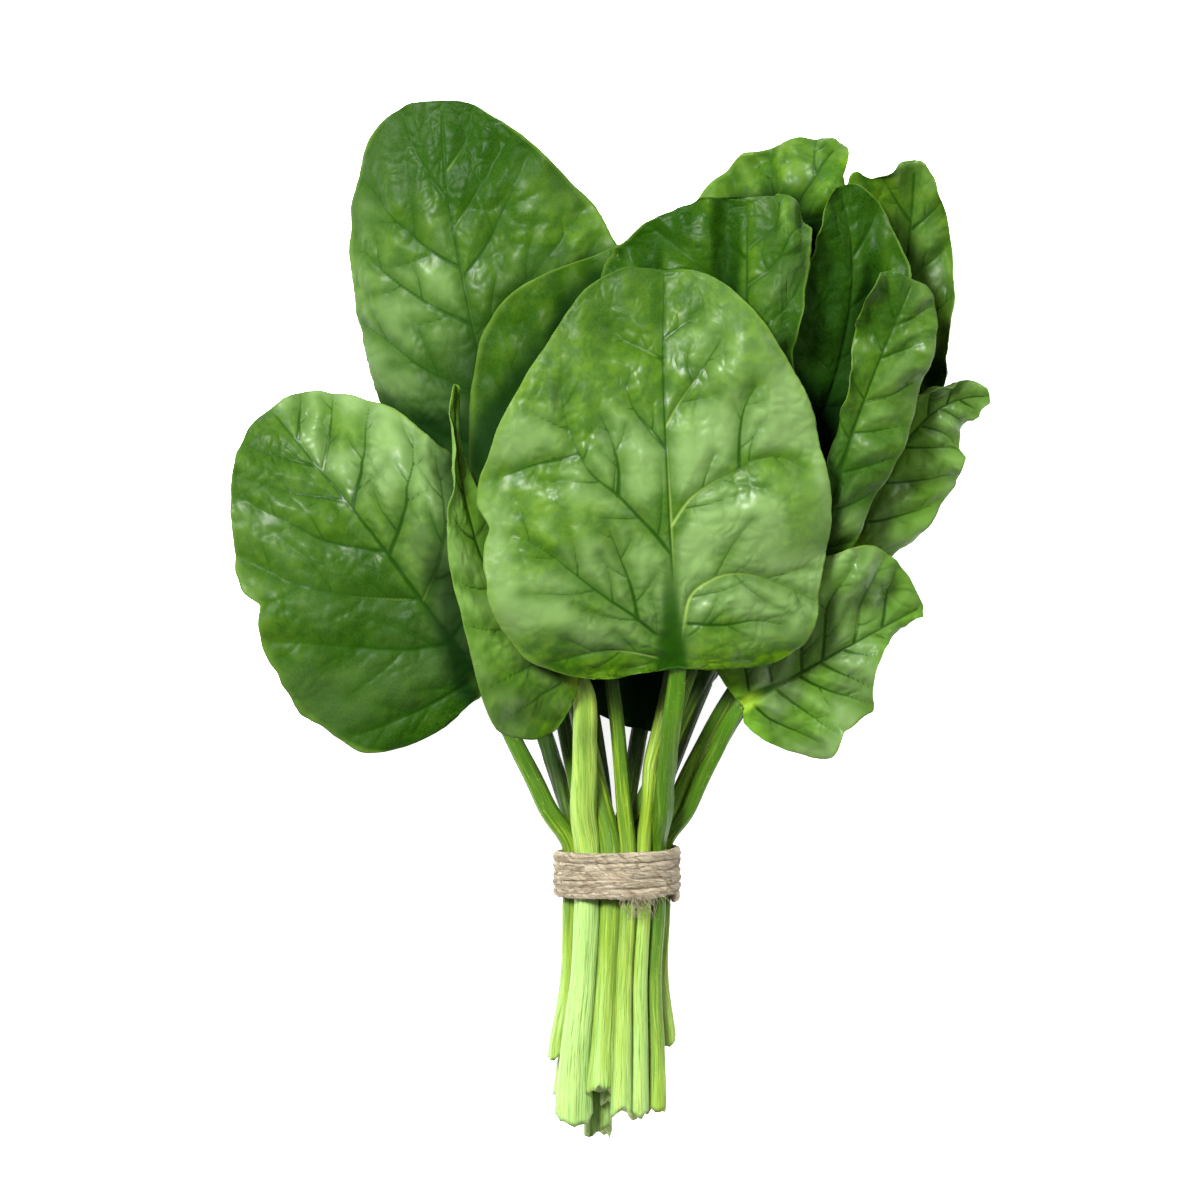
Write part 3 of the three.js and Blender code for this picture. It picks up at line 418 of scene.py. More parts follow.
def pack_stalks(places, radii, half_width=math.inf, half_height=math.inf):
    """Moves round stalks apart until none touch, above the table and within an ellipse."""
    count = len(places)
    for _ in range(PACKING_ROUNDS):
        for i in range(count):
            p = places[i]
            for j in range(i):
                q = places[j]
                across, up = p[0] - q[0], p[1] - q[1]
                apart = math.hypot(across, up)
                short = radii[i] + radii[j] + STALK_GAP - apart
                if short > 0:
                    push = short / 2 / apart
                    p[0] += across * push
                    p[1] += up * push
                    q[0] -= across * push
                    q[1] -= up * push
        for p, radius in zip(places, radii):
            above = p[1] - NECK_CENTRE_Z
            out = math.hypot(p[0] / (half_width - radius), above / (half_height - radius))
            p[0] /= max(out, 1)
            p[1] = max(NECK_CENTRE_Z + above / max(out, 1), radius)
    return places


def bundle_stalks():
    """Lays the stalks side by side: leaf["bundle"] holds (x, z) at each of BUNDLE_STATIONS."""
    radii = [leaf["radius"] for leaf in LEAVES]
    wanted = [[leaf["ring"][0], leaf["ring"][1] + NECK_CENTRE_Z] for leaf in LEAVES]
    in_twine = pack_stalks(wanted, radii, NECK_HALF_WIDTH, NECK_HALF_HEIGHT)
    stations = []
    for y in BUNDLE_STATIONS:
        if abs(y) < TWINE_REACH:
            stations.append(in_twine)
            continue
        places = []
        for leaf, (x, z) in zip(LEAVES, in_twine):
            if y < 0:
                x = x * lerp(1, CUT_SQUEEZE, -y / CUT_END) + CUT_LEAN * y
                places.append([x, z + CUT_DROP * y])
            else:
                base = leaf["midrib"][0]
                share = y / base[1]
                u = share * lerp(SPREAD_START, 1, share)
                places.append([lerp(x, base[0], u), lerp(z, base[2], u)])
        flare = 1 + CUT_FLARE * float(smoothstep(-y, 20, 60))
        stations.append(pack_stalks(places, [radius * flare for radius in radii]))
    for i, leaf in enumerate(LEAVES):
        leaf["bundle"] = np.array([places[i] for places in stations])


# ---------------------------------------------------------------- how the leaves settle


def over_windows(values, reach, combine, axis=0):
    """Each entry becomes the result of combine over the entries within reach along an axis."""
    padding = [(reach, reach) if k == axis else (0, 0) for k in range(values.ndim)]
    padded = np.pad(values.astype(float), padding, constant_values=np.nan)
    windows = np.lib.stride_tricks.sliding_window_view(padded, 2 * reach + 1, axis)
    return combine(windows, axis=-1)


class HeightMap:
    """A map of heights over the table, for what lies on what."""

    def __init__(self):
        self.values = np.zeros((MAP_CELLS[1], MAP_CELLS[0]))

    def cells(self, x, y):
        column = np.floor((x - MAP_MIN[0]) / CELL).astype(int)
        row = np.floor((y - MAP_MIN[1]) / CELL).astype(int)
        return np.clip(row, 0, MAP_CELLS[1] - 1), np.clip(column, 0, MAP_CELLS[0] - 1)

    def raise_to(self, points, heights):
        np.maximum.at(self.values, self.cells(points[..., 0], points[..., 1]), heights)

    def at(self, x, y):
        """The height at a place, from the middles of the four cells round it."""
        u = np.clip((x - MAP_MIN[0]) / CELL - 0.5, 0, MAP_CELLS[0] - 1.001)
        v = np.clip((y - MAP_MIN[1]) / CELL - 0.5, 0, MAP_CELLS[1] - 1.001)
        column, row = np.floor(u).astype(int), np.floor(v).astype(int)
        low = lerp(self.values[row, column], self.values[row, column + 1], u - column)
        high = lerp(self.values[row + 1, column], self.values[row + 1, column + 1], u - column)
        return lerp(low, high, v - row)

    def filter(self, reach, combine):
        self.values = over_windows(self.values, reach, combine, 1)
        self.values = over_windows(self.values, reach, combine, 0)


def shelter(surroundings, points):
    """How deep points lie below what surrounds them: from 0 in the open to 1."""
    depth = surroundings.at(points[..., 0], points[..., 1]) - points[..., 2]
    return smoothstep(depth, 0.5, DEEP_SHADE)


def rise_over(heap, points, radius):
    """How far points have to rise to lie on the heap, or 0 where there is nothing below."""
    heights = heap.values[heap.cells(points[..., 0], points[..., 1])]
    rise = np.maximum(heights + LAYER_GAP + radius - points[..., 2], 0)
    return np.where(heights > 0, rise, 0)


def stalk_points(leaf):
    """Points across the stalk all along it, above the twine, with their radius, way and u."""
    places, _, way, u = stalk_line(leaf, SETTLING_STEPS)
    above = places[:, 1] > 0
    places, way, u = places[above], way[above], u[above]
    radius = stalk_radius(leaf, way)
    shares = np.array([-1, -0.5, 0, 0.5, 1])
    points = np.repeat(places[:, None], 5, axis=1)
    points[..., 0] += radius[:, None] * shares
    return points, radius[:, None] + 0 * shares, way, u


def settle(leaf, heap):
    """Lifts the leaf until it lies on what is below it, and adds it to the heap."""
    leaf["lift"] = HeightMap()
    leaf["rise"] = np.zeros(RISE_STEPS + 1)
    leaf["early_rise"] = 0
    along = np.arange(SAMPLE_ROWS + 1)[:, None] / SAMPLE_ROWS
    across = np.arange(-SAMPLE_COLUMNS, SAMPLE_COLUMNS + 1) / SAMPLE_COLUMNS

    lift = HeightMap()
    surface = blade(leaf, along, across)
    lift.raise_to(surface, rise_over(heap, surface, 0))
    points, radius, way, _ = stalk_points(leaf)
    rib = way >= 1
    lift.raise_to(points[rib], rise_over(heap, points[rib], radius[rib]))
    lift.filter(SPREAD_CELLS, np.nanmax)
    lift.filter(SMOOTH_CELLS, np.nanmean)
    lift.filter(SMOOTH_CELLS, np.nanmean)
    leaf["lift"] = lift

    points, radius, _, u = stalk_points(leaf)
    reaching = u < 1
    step = np.round(u[reaching] * RISE_STEPS).astype(int)
    rise = np.zeros(RISE_STEPS + 1)
    np.maximum.at(rise, step, rise_over(heap, points[reaching], radius[reaching]).max(axis=1))
    rise = over_windows(rise, RISE_SPREAD, np.nanmax)
    rise = over_windows(over_windows(rise, RISE_SPREAD, np.nanmean), RISE_SPREAD, np.nanmean)
    steps = np.arange(RISE_STEPS + 1)
    leaf["rise"] = rise * smoothstep(np.minimum(steps, RISE_STEPS - steps), 0, RISE_SPREAD)

    surface = blade(leaf, along, across)
    heap.raise_to(surface, surface[..., 2] + BLADE_THICKNESS / 2)
    points, radius, _, _ = stalk_points(leaf)
    heap.raise_to(points, points[..., 2] + radius)


def even_out_rise(leaf):
    """Makes the stalk rise evenly between the steps that the solids take."""
    held = leaf["rise"][::RISE_STEPS // SOLID_REACH_STEPS]
    place = np.arange(RISE_STEPS + 1) * SOLID_REACH_STEPS / RISE_STEPS
    k = np.minimum(place.astype(int), SOLID_REACH_STEPS - 1)
    leaf["early_rise"] = 0.6 * held[1]
    held[0] = leaf["early_rise"]
    leaf["rise"] = np.maximum(smooth_at(held, k, place - k), 0)


# ---------------------------------------------------------------- veins
#
# Veins grow on the leaf laid flat: x runs out from the midrib, y along it, both in millimetres.
# A vein is a dict of its points, its width at its start, its level, from 0 for the midrib to
# FINEST_VEINS, and how pale it is.

VEIN_STEP = 1.5
VEIN_MARGIN = 0.93  # of the way to the leaf's edge, where veins end
VEIN_REACH = 14  # how far from a vein its distance matters
VEIN_DEPTHS = (1.0, 0.95, 0.7, 0.4)  # for the midrib, its side veins and their branches
VEIN_SLACKS = (0, 0, 1.0)  # how much further away the same ones count as, for the pillows
VEIN_THINNING = 0.62  # of a branch against the vein that it leaves
BRANCH_SPACING = {1: 8.5, 2: 5.0}
BRANCH_REACH = {1: 0.55, 2: 0.5}  # as a share of what is left of the vein
FINEST_VEINS = 3

VEINS_OF_FRONT_LEAF = [
    # paleness, then the points it passes
    (0.9, (0.5, 4), (1.8, 13), (4.2, 22.8), (8.5, 27), (14.5, 29.4), (22, 28.4), (32, 23.4),
     (40, 17.8)),
    (0.6, (0.4, 45), (5.6, 52), (12, 56.4), (20, 60), (25, 63), (32.5, 63), (37.5, 59.5)),
    (0.5, (0.2, 73), (3.7, 78.7), (9, 85.6), (13.5, 91.8), (16.8, 96.8)),
    (0.3, (0.1, 96), (3, 98), (6.8, 100.5), (10, 104)),
    (0.0, (3.5, 14.9), (13, 14.3), (21.6, 14.7), (30, 12)),
    (0.2, (20, 60), (20.4, 69), (22, 77), (26, 84)),
    (0.5, (-0.2, 90.6), (-5.4, 93), (-11, 96), (-15.5, 99)),
    (0.4, (-0.2, 67), (-5, 73), (-8.7, 78), (-11, 85)),
    (0.1, (-0.4, 37), (-4.2, 42.7), (-8.8, 48.3), (-14, 54.5), (-21, 60.7), (-25, 68),
     (-28, 77), (-28.5, 85)),
    (0.1, (-14, 54.5), (-13.5, 62), (-15.5, 70.7), (-19, 78)),
    (0.3, (-24.5, 66), (-31, 64.8), (-37, 63.8), (-46, 61)),
    (0.1, (-1, 8), (-6.5, 12.8), (-11.5, 18.4), (-20, 25.9), (-28.6, 34), (-34.5, 39.5),
     (-43, 44.5)),
    (0.2, (-10.5, 17.2), (-11.7, 27), (-14.5, 37), (-17, 45)),
    (0.6, (-1.5, 2), (-11, 5.7), (-19.7, 7.5), (-27, 7), (-36, 4)),
]


def length_of(leaf):
    points, _, _ = midrib(leaf, np.linspace(0, 1, 40))
    return float(np.linalg.norm(np.diff(points, axis=0), axis=1).sum())


def room_beside(leaf, length):
    """Two functions of y, left and right: how far the blade reaches out from the midrib."""
    along = np.linspace(0, 1, 200)
    rooms = {}
    for side in (-1, 1):
        distance, t = flat(leaf, along, side)
        order = np.argsort(t)
        rooms[side] = (t[order] * length, distance[order])
    return lambda side, y: np.interp(y, *rooms[side], left=0, right=0)


def laid_vein(points):
    """The points of a vein in even steps, with its angles from tipwards to straight out."""
    points = np.array(points, float)
    run = length_along(points)
    at = np.arange(0, run[-1], VEIN_STEP)
    k = np.clip(np.searchsorted(run, at, "right") - 1, 0, len(run) - 2)
    u = (at - run[k]) / (run[k + 1] - run[k])
    smooth = smooth_at(points, k, u[:, None])
    step = np.gradient(smooth, axis=0)
    side = np.sign(points[-1, 0])
    return smooth, np.degrees(np.arctan2(side * step[:, 0], step[:, 1])), side


def grow_vein(veins, room, rng, x, y, side, angle, turn, reach, width, level, pale=0.0):
    """Adds a vein and its branches. The angle is from tipwards to straight out."""
    steps = max(int(reach / VEIN_STEP), 2)
    points = [(x, y)]
    angles = [angle]
    for _ in range(steps):
        heading = math.radians(angle)
        x += side * math.sin(heading) * VEIN_STEP
        y += math.cos(heading) * VEIN_STEP
        if side * x < 0.5 or side * x > VEIN_MARGIN * room(side, y):
            break
        points.append((x, y))
        angles.append(angle)
        angle += turn / steps + rng.normal(0, 2.2)
    if len(points) >= 3:
        add_vein(veins, room, rng, points, angles, side, width, level, pale)


def add_vein(veins, room, rng, points, angles, side, width, level, pale):
    veins.append(dict(points=np.array(points), width=width, level=level, pale=pale))
    if level == FINEST_VEINS:
        return
    flip = rng.choice((-1, 1))
    spacing = BRANCH_SPACING[level]
    place = spacing * rng.uniform(0.6, 1.0)
    run = (len(points) - 1) * VEIN_STEP
    while place < run * 0.94:
        k = int(place / VEIN_STEP)
        off = rng.uniform(38, 58)
        branch = BRANCH_REACH[level] * (run - place * 0.6) * rng.uniform(0.5, 1.0)
        grow_vein(veins, room, rng, *points[k], side, angles[k] + flip * off, -flip * off * 0.4,
                  max(branch, 5), width * VEIN_THINNING, level + 1, pale * 0.35)
        flip = -flip
        place += spacing * rng.uniform(0.6, 1.2)


def grow_veins(leaf, rng):
    length = length_of(leaf)
    room = room_beside(leaf, length)
    widest = max(*leaf["left"], *leaf["right"])
    y = np.linspace(0, 0.97 * length, 60)
    wander = 0.25 * np.sin(y / 11 + rng.uniform(0, 6))
    width = np.interp(widest, (8, 50), (0.7, 1.25))
    midrib_pale = RELIEF[leaf["name"]][5]
    veins = [dict(points=np.stack([wander, y], 1), width=width, level=0, pale=midrib_pale)]
    sides = []
    if leaf["name"] == FRONT_LEAF:
        for pale, *laid in VEINS_OF_FRONT_LEAF:
            points, angles, side = laid_vein(laid)
            add_vein(veins, room, rng, points, angles, side, width * 0.6, 1, pale)
    else:
        for side in (-1, 1):
            t = rng.uniform(0.02, 0.06)
            while t < 0.9:
                angle = lerp(76, 36, t) + rng.normal(0, 4)
                reach = 1.25 * room(side, t * length) + 6
                sides.append((side, t, angle, angle - 26, reach, rng.uniform(0.05, 0.45)))
                t += rng.uniform(0.11, 0.17)
    for side, t, start, end, reach, pale in sides:
        grow_vein(veins, room, rng, 0.5 * side, t * length, side, start, end - start, reach,
                  width * VEIN_THINNING, 1, pale)
    return veins


def vein_fields(veins, x, y):
    """For each point: how deep in a groove, how pale, and how far from the nearest vein and
    from the nearest of the thick ones."""
    groove = np.zeros_like(x)
    pale = np.zeros_like(x)
    away = np.full_like(x, VEIN_REACH)
    far = np.full_like(x, VEIN_REACH)
    for vein in veins:
        p = vein["points"]
        low, high = p.min(0) - VEIN_REACH, p.max(0) + VEIN_REACH
        near = (x > low[0]) & (x < high[0]) & (y > low[1]) & (y < high[1])
        if not near.any():
            continue
        px, py = x[near], y[near]
        best = np.full_like(px, VEIN_REACH)
        share = np.zeros_like(px)
        for k in range(len(p) - 1):
            (ax, ay), (dx, dy) = p[k], p[k + 1] - p[k]
            u = np.clip(((px - ax) * dx + (py - ay) * dy) / (dx * dx + dy * dy), 0, 1)
            d = np.hypot(px - ax - u * dx, py - ay - u * dy)
            closer = d < best
            best = np.where(closer, d, best)
            share = np.where(closer, (k + u) / (len(p) - 1), share)
        width = vein["width"] * lerp(1, 0.4, share)
        profile = hump(best, width)
        depth = VEIN_DEPTHS[vein["level"]] * lerp(1, 0.6, share)
        groove[near] = np.maximum(groove[near], depth * profile)
        pale[near] = np.maximum(pale[near], vein["pale"] * lerp(1, 0.25, share) * profile)
        if vein["level"] < FINEST_VEINS:
            away[near] = np.minimum(away[near], best + VEIN_SLACKS[vein["level"]])
        if vein["level"] < 2:
            far[near] = np.minimum(far[near], best + 4 * share * vein["level"])
    return groove, pale, away, far


# ---------------------------------------------------------------- meshes


def flat_index(grid_shape, first):
    return first + np.arange(grid_shape[0] * grid_shape[1]).reshape(grid_shape)


def quads_of(index, flip=False):
    """The faces of a grid of vertices, looking the way of its columns times its rows."""
    a, b = index[:-1, :-1], index[:-1, 1:]
    c, d = index[1:, 1:], index[1:, :-1]
    corners = (a, d, c, b) if flip else (a, b, c, d)
    return np.stack([corner.ravel() for corner in corners], axis=1)


def fan_at(index, end, flip=False):
    """The triangles between the point at one end of a grid, vertex 0 or 1, and the next row."""
    row = index[0] if end == 0 else index[-1]
    flip ^= end == 0
    pairs = (row[1:], row[:-1]) if flip else (row[:-1], row[1:])
    return np.stack([np.full(len(row) - 1, end), *pairs], 1)


def make_piece(name, points, faces, uvs, attributes, material, node):
    """A smooth piece of the bunch that stands for a node of the frame. uvs has a place on the
    map for each corner of each face, attributes a number or a vector for each point."""
    mesh = bpy.data.meshes.new(name)
    mesh.from_pydata((points * MM).tolist(), [], [list(face) for face in faces])
    if uvs is not None:
        mesh.uv_layers.new(name="OFBake").data.foreach_set("uv", np.asarray(uvs).ravel())
    for key, values in attributes.items():
        kind, field = ("FLOAT_VECTOR", "vector") if values.ndim == 2 else ("FLOAT", "value")
        layer = mesh.attributes.new(key, kind, "POINT")
        layer.data.foreach_set(field, values.astype(np.float32).ravel())
    mesh.polygons.foreach_set("use_smooth", [True] * len(mesh.polygons))
    mesh.materials.append(material)
    piece = bpy.data.objects.new(name, mesh)
    bpy.context.scene.collection.objects.link(piece)
    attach(piece, "root")
    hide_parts(node)


# ---------------------------------------------------------------- blades

FRONT_LEAF = "leaf_18"
HIDDEN_LEAVES = ("leaf_01", "leaf_02", "leaf_03", "leaf_04")
SKIN = 0.5  # thickness of a blade in the middle
SKIN_EDGE = 0.24
UNDERSIDE_COARSENESS = 4
LOWEST = 0.02  # height of a point that lies on the table
PILLOW_REACH = 3.2  # how far from a vein the pillows between the veins reach their full height
SWELLING_REACH = 7.5  # the same for the bulges between the side veins
TROUGH_WIDTH = 0.8  # half the width of the trough at the base, in stalk radii
FRONT_TROUGH_WIDTH = 1.7  # the same on the front leaf
NET_SIZE = 4.2  # of the meshes of the finest veins
NET_WIDTH = 0.36  # of those veins, as a share of a mesh
DEEP_SHADE = 11  # how far below its surroundings a point is as dark as it gets
SHADE_CELLS = 5  # how far away those surroundings reach, in cells of the map
UPPER_MAP, UNDER_MAP = 0.01, 0.53  # where a blade's two faces start on its map
FACE_MAP_WIDTH = 0.46
EDGE_MAPS = (0.482, 0.502)  # where the left and the right edge start, in between
EDGE_MAP_WIDTH = 0.012
MAP_MARGIN = 0.005  # below and above

# How much of that shade a leaf takes: less where light reaches it from the side.
SHADE_TAKEN = dict.fromkeys(HIDDEN_LEAVES, 0.3) | dict(leaf_08=0.6, leaf_11=0.1, leaf_16=0.25)

# Per leaf: mesh spacing, height of the bulges between the side veins and of the pillows between
# the small ones, undulation, waves at the edge, paleness of the midrib, lengthwise folds.
RELIEF = dict.fromkeys(HIDDEN_LEAVES, (1.6, 0.5, 0.3, 0.2, 0.2, 0.5, 0.2)) | dict(
    leaf_05=(1.1, 0.8, 0.5, 0.5, 0.4, 0.1, 0.2), leaf_06=(1.1, 0.8, 0.5, 0.5, 0.4, 0.1, 0.2),
    leaf_07=(0.52, 1.2, 0.5, 1.0, 0.8, 0.5, 0.9), leaf_08=(0.5, 1.6, 0.8, 1.6, 2.0, 0.4, 2.0),
    leaf_09=(0.5, 1.8, 0.9, 1.2, 1.4, 0.2, 2.0), leaf_10=(0.52, 1.2, 0.5, 0.9, 0.7, 0.15, 0.7),
    leaf_11=(0.45, 1.6, 0.9, 1.3, 2.0, 0.8, 1.2), leaf_12=(0.5, 1.2, 0.7, 1.3, 1.4, 0.1, 1.5),
    leaf_13=(0.6, 1.2, 0.6, 1.2, 0.8, 0.1, 1.3), leaf_14=(0.5, 2.4, 0.8, 1.4, 1.4, 0.1, 3.2),
    leaf_15=(0.45, 1.8, 0.7, 1.6, 2.0, 0.3, 2.2), leaf_16=(0.45, 1.6, 0.7, 1.4, 2.0, 0.6, 1.5),
    leaf_17=(0.45, 0.6, 0.4, 0.8, 0.8, 0.5, 0.5), leaf_18=(0.45, 1.5, 0.6, 0.9, 0.6, 0.7, 0.6),
)
# Per leaf, from -1, nearly black, to 1, pale: left and right of the midrib, and what is added at
# the base and at the tip; then how much painted sheen there is left and right of the midrib. Sums
# past either end count as the end. The tones are partly each leaf's own colour and partly painted
# light and shade, lighter or darker by how the light falls on each leaf, its halves, base and tip.
TONES_AND_PAINTED_LIGHT = dict.fromkeys(HIDDEN_LEAVES, (-0.3, -0.3, 0, 0, 0, 0)) | dict(
    leaf_05=(-0.6, -0.6, 0, 0, 0, 0), leaf_06=(-0.9, -0.9, 0, 0, 0, 0),
    leaf_07=(-0.35, -0.35, -1.3, -0.8, 0.5, 0.15), leaf_08=(0.3, 0.6, -0.2, -0.4, 0.2, 0.45),
    leaf_09=(-0.3, -0.2, -0.3, 0.1, 0.15, 0.05), leaf_10=(-0.55, 0.15, -0.3, 0, 0.15, 1.6),
    leaf_11=(0.6, 1, 0.3, 0.2, 0.5, 0.7), leaf_12=(-1.0, -0.8, -0.2, 0, 0, 0),
    leaf_13=(-0.6, -0.6, -0.3, 0, 0.05, 0), leaf_14=(-1.05, -0.5, -0.4, 0, 0, 0.2),
    leaf_15=(-0.4, -0.1, -0.4, 0.1, 0.1, 0.4), leaf_16=(0.9, 1, 0.1, 0, 1, 1.3),
    leaf_17=(0.6, 0.7, -0.3, 0.4, 0.5, 0.5), leaf_18=(0.1, 0.25, -0.35, -0.7, 0.75, 1.2),
)
# on the front leaf laid flat: where it bulges, how far each way, and how high
FRONT_BULGES = [
    (27, 47, 18, 12, 2.0), (23, 11, 18, 9, 1.8), (-27, 19, 16, 10, 1.5), (-19, 53, 8, 16, 1.2),
    (-8, 80, 5, 14, 0.8), (9, 89, 6, 14, 1.0), (-27, 5, 25, 3, 1.2), (-36, 48, 9, 9, 1.2),
]


def seed_of(leaf):
    return int(leaf["name"][-2:]) * 100


class FlatBlade:
    """A blade laid flat: the places of its points, and the marks and the relief on it.

    x runs out from the midrib and y along it, in millimetres, and t is the way along it."""

    def __init__(self, leaf):
        self.leaf = leaf
        self.seed = seed_of(leaf)
        self.length = length_of(leaf)
        self.place_points(RELIEF[leaf["name"]][0] / DETAIL)
        veins = grow_veins(leaf, np.random.default_rng(self.seed))
        self.groove, self.pale, away, far = vein_fields(veins, self.x, self.y)
        self.pillow = 1 - hump(away, PILLOW_REACH)
        self.swelling = 1 - hump(far, SWELLING_REACH)
        self.folds = RELIEF[leaf["name"]][6] * noise(self.x / 5.5, self.y / 24, self.seed + 49)
        self.colour_in()
        self.sink_trough()
        self.net = self.finest_veins()

    def place_points(self, spacing):
        """Rows from the base to the tip and columns from edge to edge, the edge a bit uneven."""
        breadth = max(self.leaf["left"]) + max(self.leaf["right"])
        self.rows = int(self.length / spacing)
        columns = max(int(breadth / spacing / UNDERSIDE_COARSENESS), 2) * UNDERSIDE_COARSENESS
        self.u = np.linspace(0, 1, self.rows + 1)
        self.v = np.linspace(-1, 1, columns + 1)
        along = lerp(self.u, np.arccos(1 - 2 * self.u) / np.pi, 0.5)[:, None]
        across = lerp(self.v, self.v * np.abs(self.v), 0.3)[None, :]
        self.along, self.across = np.broadcast_arrays(along, across)
        uneven = 0.02 * self.along_edge(7, 0) + 0.008 * self.along_edge(2.5, 1)
        self.across = self.across * (1 + uneven * np.abs(self.across) ** 6)
        distance, self.t = flat(self.leaf, self.along, self.across)
        self.x, self.y = np.sign(self.across) * distance, self.t * self.length

    def along_edge(self, size, number):
        """Random heights that change along the leaf only, on each side for itself."""
        side = self.seed + (self.across > 0)
        return noise(self.along * self.length / size, side * 1.7, self.seed + number)

    def bumps(self, size, number):
        """Random heights with bumps of a size in millimetres. Each number gives its own."""
        return noise(self.x / size, self.y / size, self.seed + number)

    def colour_in(self):
        left, right, base, tip, left_painted_sheen, right_painted_sheen = TONES_AND_PAINTED_LIGHT[self.leaf["name"]]
        # The tone is partly the leaf's own colour and partly painted light and shade.
        rightness = smoothstep(self.x, -4, 4)
        tipness = smoothstep(self.t, 0.6, 0.95)
        tone = lerp(left, right, rightness) + base * (1 - smoothstep(self.t, 0.15, 0.65))
        # painted shade in the folds' valleys, painted light on their ridges
        self.tone = tone + tip * tipness + 0.2 * self.folds
        # painted sheen: pale bluish patches that stand in for gloss, more on the raised tissue
        patch = smoothstep(self.bumps(12, 15), -0.6, 0.4)
        painted_sheen = lerp(left_painted_sheen, right_painted_sheen, rightness) * smoothstep(self.t, 0.02, 0.15)
        painted_sheen = painted_sheen * lerp(0.25, 1, patch) * lerp(0.6, 1.15, self.pillow)
        self.painted_sheen = painted_sheen * (1 + min(tip, 0) * tipness)

    def sink_trough(self):
        """Near the stalk its channel runs on up the midrib, with a pale lip on the right. The
        channel is painted darker, as painted shade.
        """
        wide = FRONT_TROUGH_WIDTH if self.leaf["name"] == FRONT_LEAF else TROUGH_WIDTH
        half = wide * self.leaf["radius"] * lerp(1, 0.3, smoothstep(self.t, 0, 0.45))
        opening = 1 - smoothstep(self.t, 0.1, 0.42)
        self.trough = hump(self.x + 0.35 * half, half, 3) * opening
        self.groove = np.maximum(self.groove * (1 - self.trough), 0.75 * self.trough)
        # painted shade in the trough
        self.tone = self.tone - 1.1 * self.trough
        left_lip = hump(self.x, 2) * (1 - smoothstep(self.x, -0.4, 0.3))
        self.pale = self.pale * (1 - self.trough) * (1 - left_lip)

    def finest_veins(self):
        bent_x = self.x + 2.4 * self.bumps(5, 9) + 0.6 * self.bumps(1.7, 12)
        bent_y = self.y + 2.4 * self.bumps(5, 10) + 0.6 * self.bumps(1.7, 13)
        net = cell_borders(bent_x / NET_SIZE, bent_y / NET_SIZE, self.seed + 11)
        return hump(net, NET_WIDTH) * (1 - self.groove) * (0.5 + 0.5 * self.bumps(8, 14))

    def relief(self):
        _, bulge, quilt, undulation, edge_wave, _, _ = RELIEF[self.leaf["name"]]
        off_midrib = 1 - hump(self.x, 5)
        relief = quilt * (self.pillow - 0.5 * off_midrib) * (1 + 0.5 * self.bumps(9, 2))
        bulging = bulge * (self.swelling - 0.5 * off_midrib)
        relief = relief + bulging * (1 + 0.6 * self.bumps(17, 7))
        relief = relief - (0.25 + 0.3 * quilt) * self.groove - 0.6 * self.trough
        ground = undulation * self.bumps(13, 3)
        ground = ground + 0.35 * undulation * self.bumps(6, 4)
        ground = ground + self.folds * smoothstep(self.t, 0.3, 0.65)
        relief = relief + ground * lerp(0.3, 1, off_midrib)
        if self.leaf["name"] == FRONT_LEAF:
            for middle_x, middle_y, reach_x, reach_y, height in FRONT_BULGES:
                away = np.hypot((self.x - middle_x) / reach_x, (self.y - middle_y) / reach_y)
                relief = relief + height * hump(away, 1) * off_midrib
        relief = relief + 0.2 * self.bumps(3.2, 8) - 0.4 * self.net
        relief = relief + edge_wave * self.along_edge(6, 6) * np.abs(self.across) ** 5
        return relief * self.end_fade()

    def end_fade(self):
        return smoothstep(np.sin(np.pi * self.along), 0, 0.15)

    def faces_apart(self):
        """The upper face and the coarser underside, on the surface that the solids give."""
        surface = blade(self.leaf, self.along, self.across)
        normal = unit(np.cross(np.gradient(surface, axis=1), np.gradient(surface, axis=0)))
        middle = len(self.v) // 2
        normal[0] = normal[2, middle]
        normal[-1] = normal[-3, middle]
        relief = self.relief()
        skin = lerp(SKIN, SKIN_EDGE, np.abs(self.across) ** 5) * lerp(0.5, 1, self.end_fade())
        lowest = over_windows(relief, UNDERSIDE_COARSENESS, np.nanmin, axis=1)
        below = lerp(lowest, relief, np.abs(self.across) ** 12)
        top = surface + normal * (relief + skin / 2)[..., None]
        bottom = surface + normal * (below - skin / 2)[..., None]
        return top, bottom[:, ::UNDERSIDE_COARSENESS], surface[[0, -1], 0]


def blade_uvs(sheet, top_index, bottom_index, quads, fans):
    """The map: upper face on the left, underside on the right, the edges in between."""
    place = np.zeros((bottom_index.max() + 1, 2))
    columns_u = (sheet.v + 1) / 2
    rows_v = sheet.u[1:-1, None]
    place[top_index, 0] = UPPER_MAP + FACE_MAP_WIDTH * columns_u
    place[top_index, 1] = rows_v
    place[bottom_index, 0] = UNDER_MAP + FACE_MAP_WIDTH * columns_u[::UNDERSIDE_COARSENESS]
    place[bottom_index, 1] = rows_v
    upper, under, *walls = quads
    uvs = [place[upper], place[under]]
    for start, wall in zip(EDGE_MAPS, walls):
        corner = place[wall]
        is_top = wall < bottom_index[0, 0]
        corner[..., 0] = start + EDGE_MAP_WIDTH * is_top
        uvs.append(corner)
    for k, triangles in enumerate(fans):
        start = UPPER_MAP if k < 2 else UNDER_MAP
        corner = place[triangles]
        corner[:, 0] = start + FACE_MAP_WIDTH / 2, k % 2
        uvs.append(corner)
    uvs = np.concatenate([uv.reshape(-1, 2) for uv in uvs])
    uvs[:, 1] = MAP_MARGIN + (1 - 2 * MAP_MARGIN) * uvs[:, 1]
    return uvs


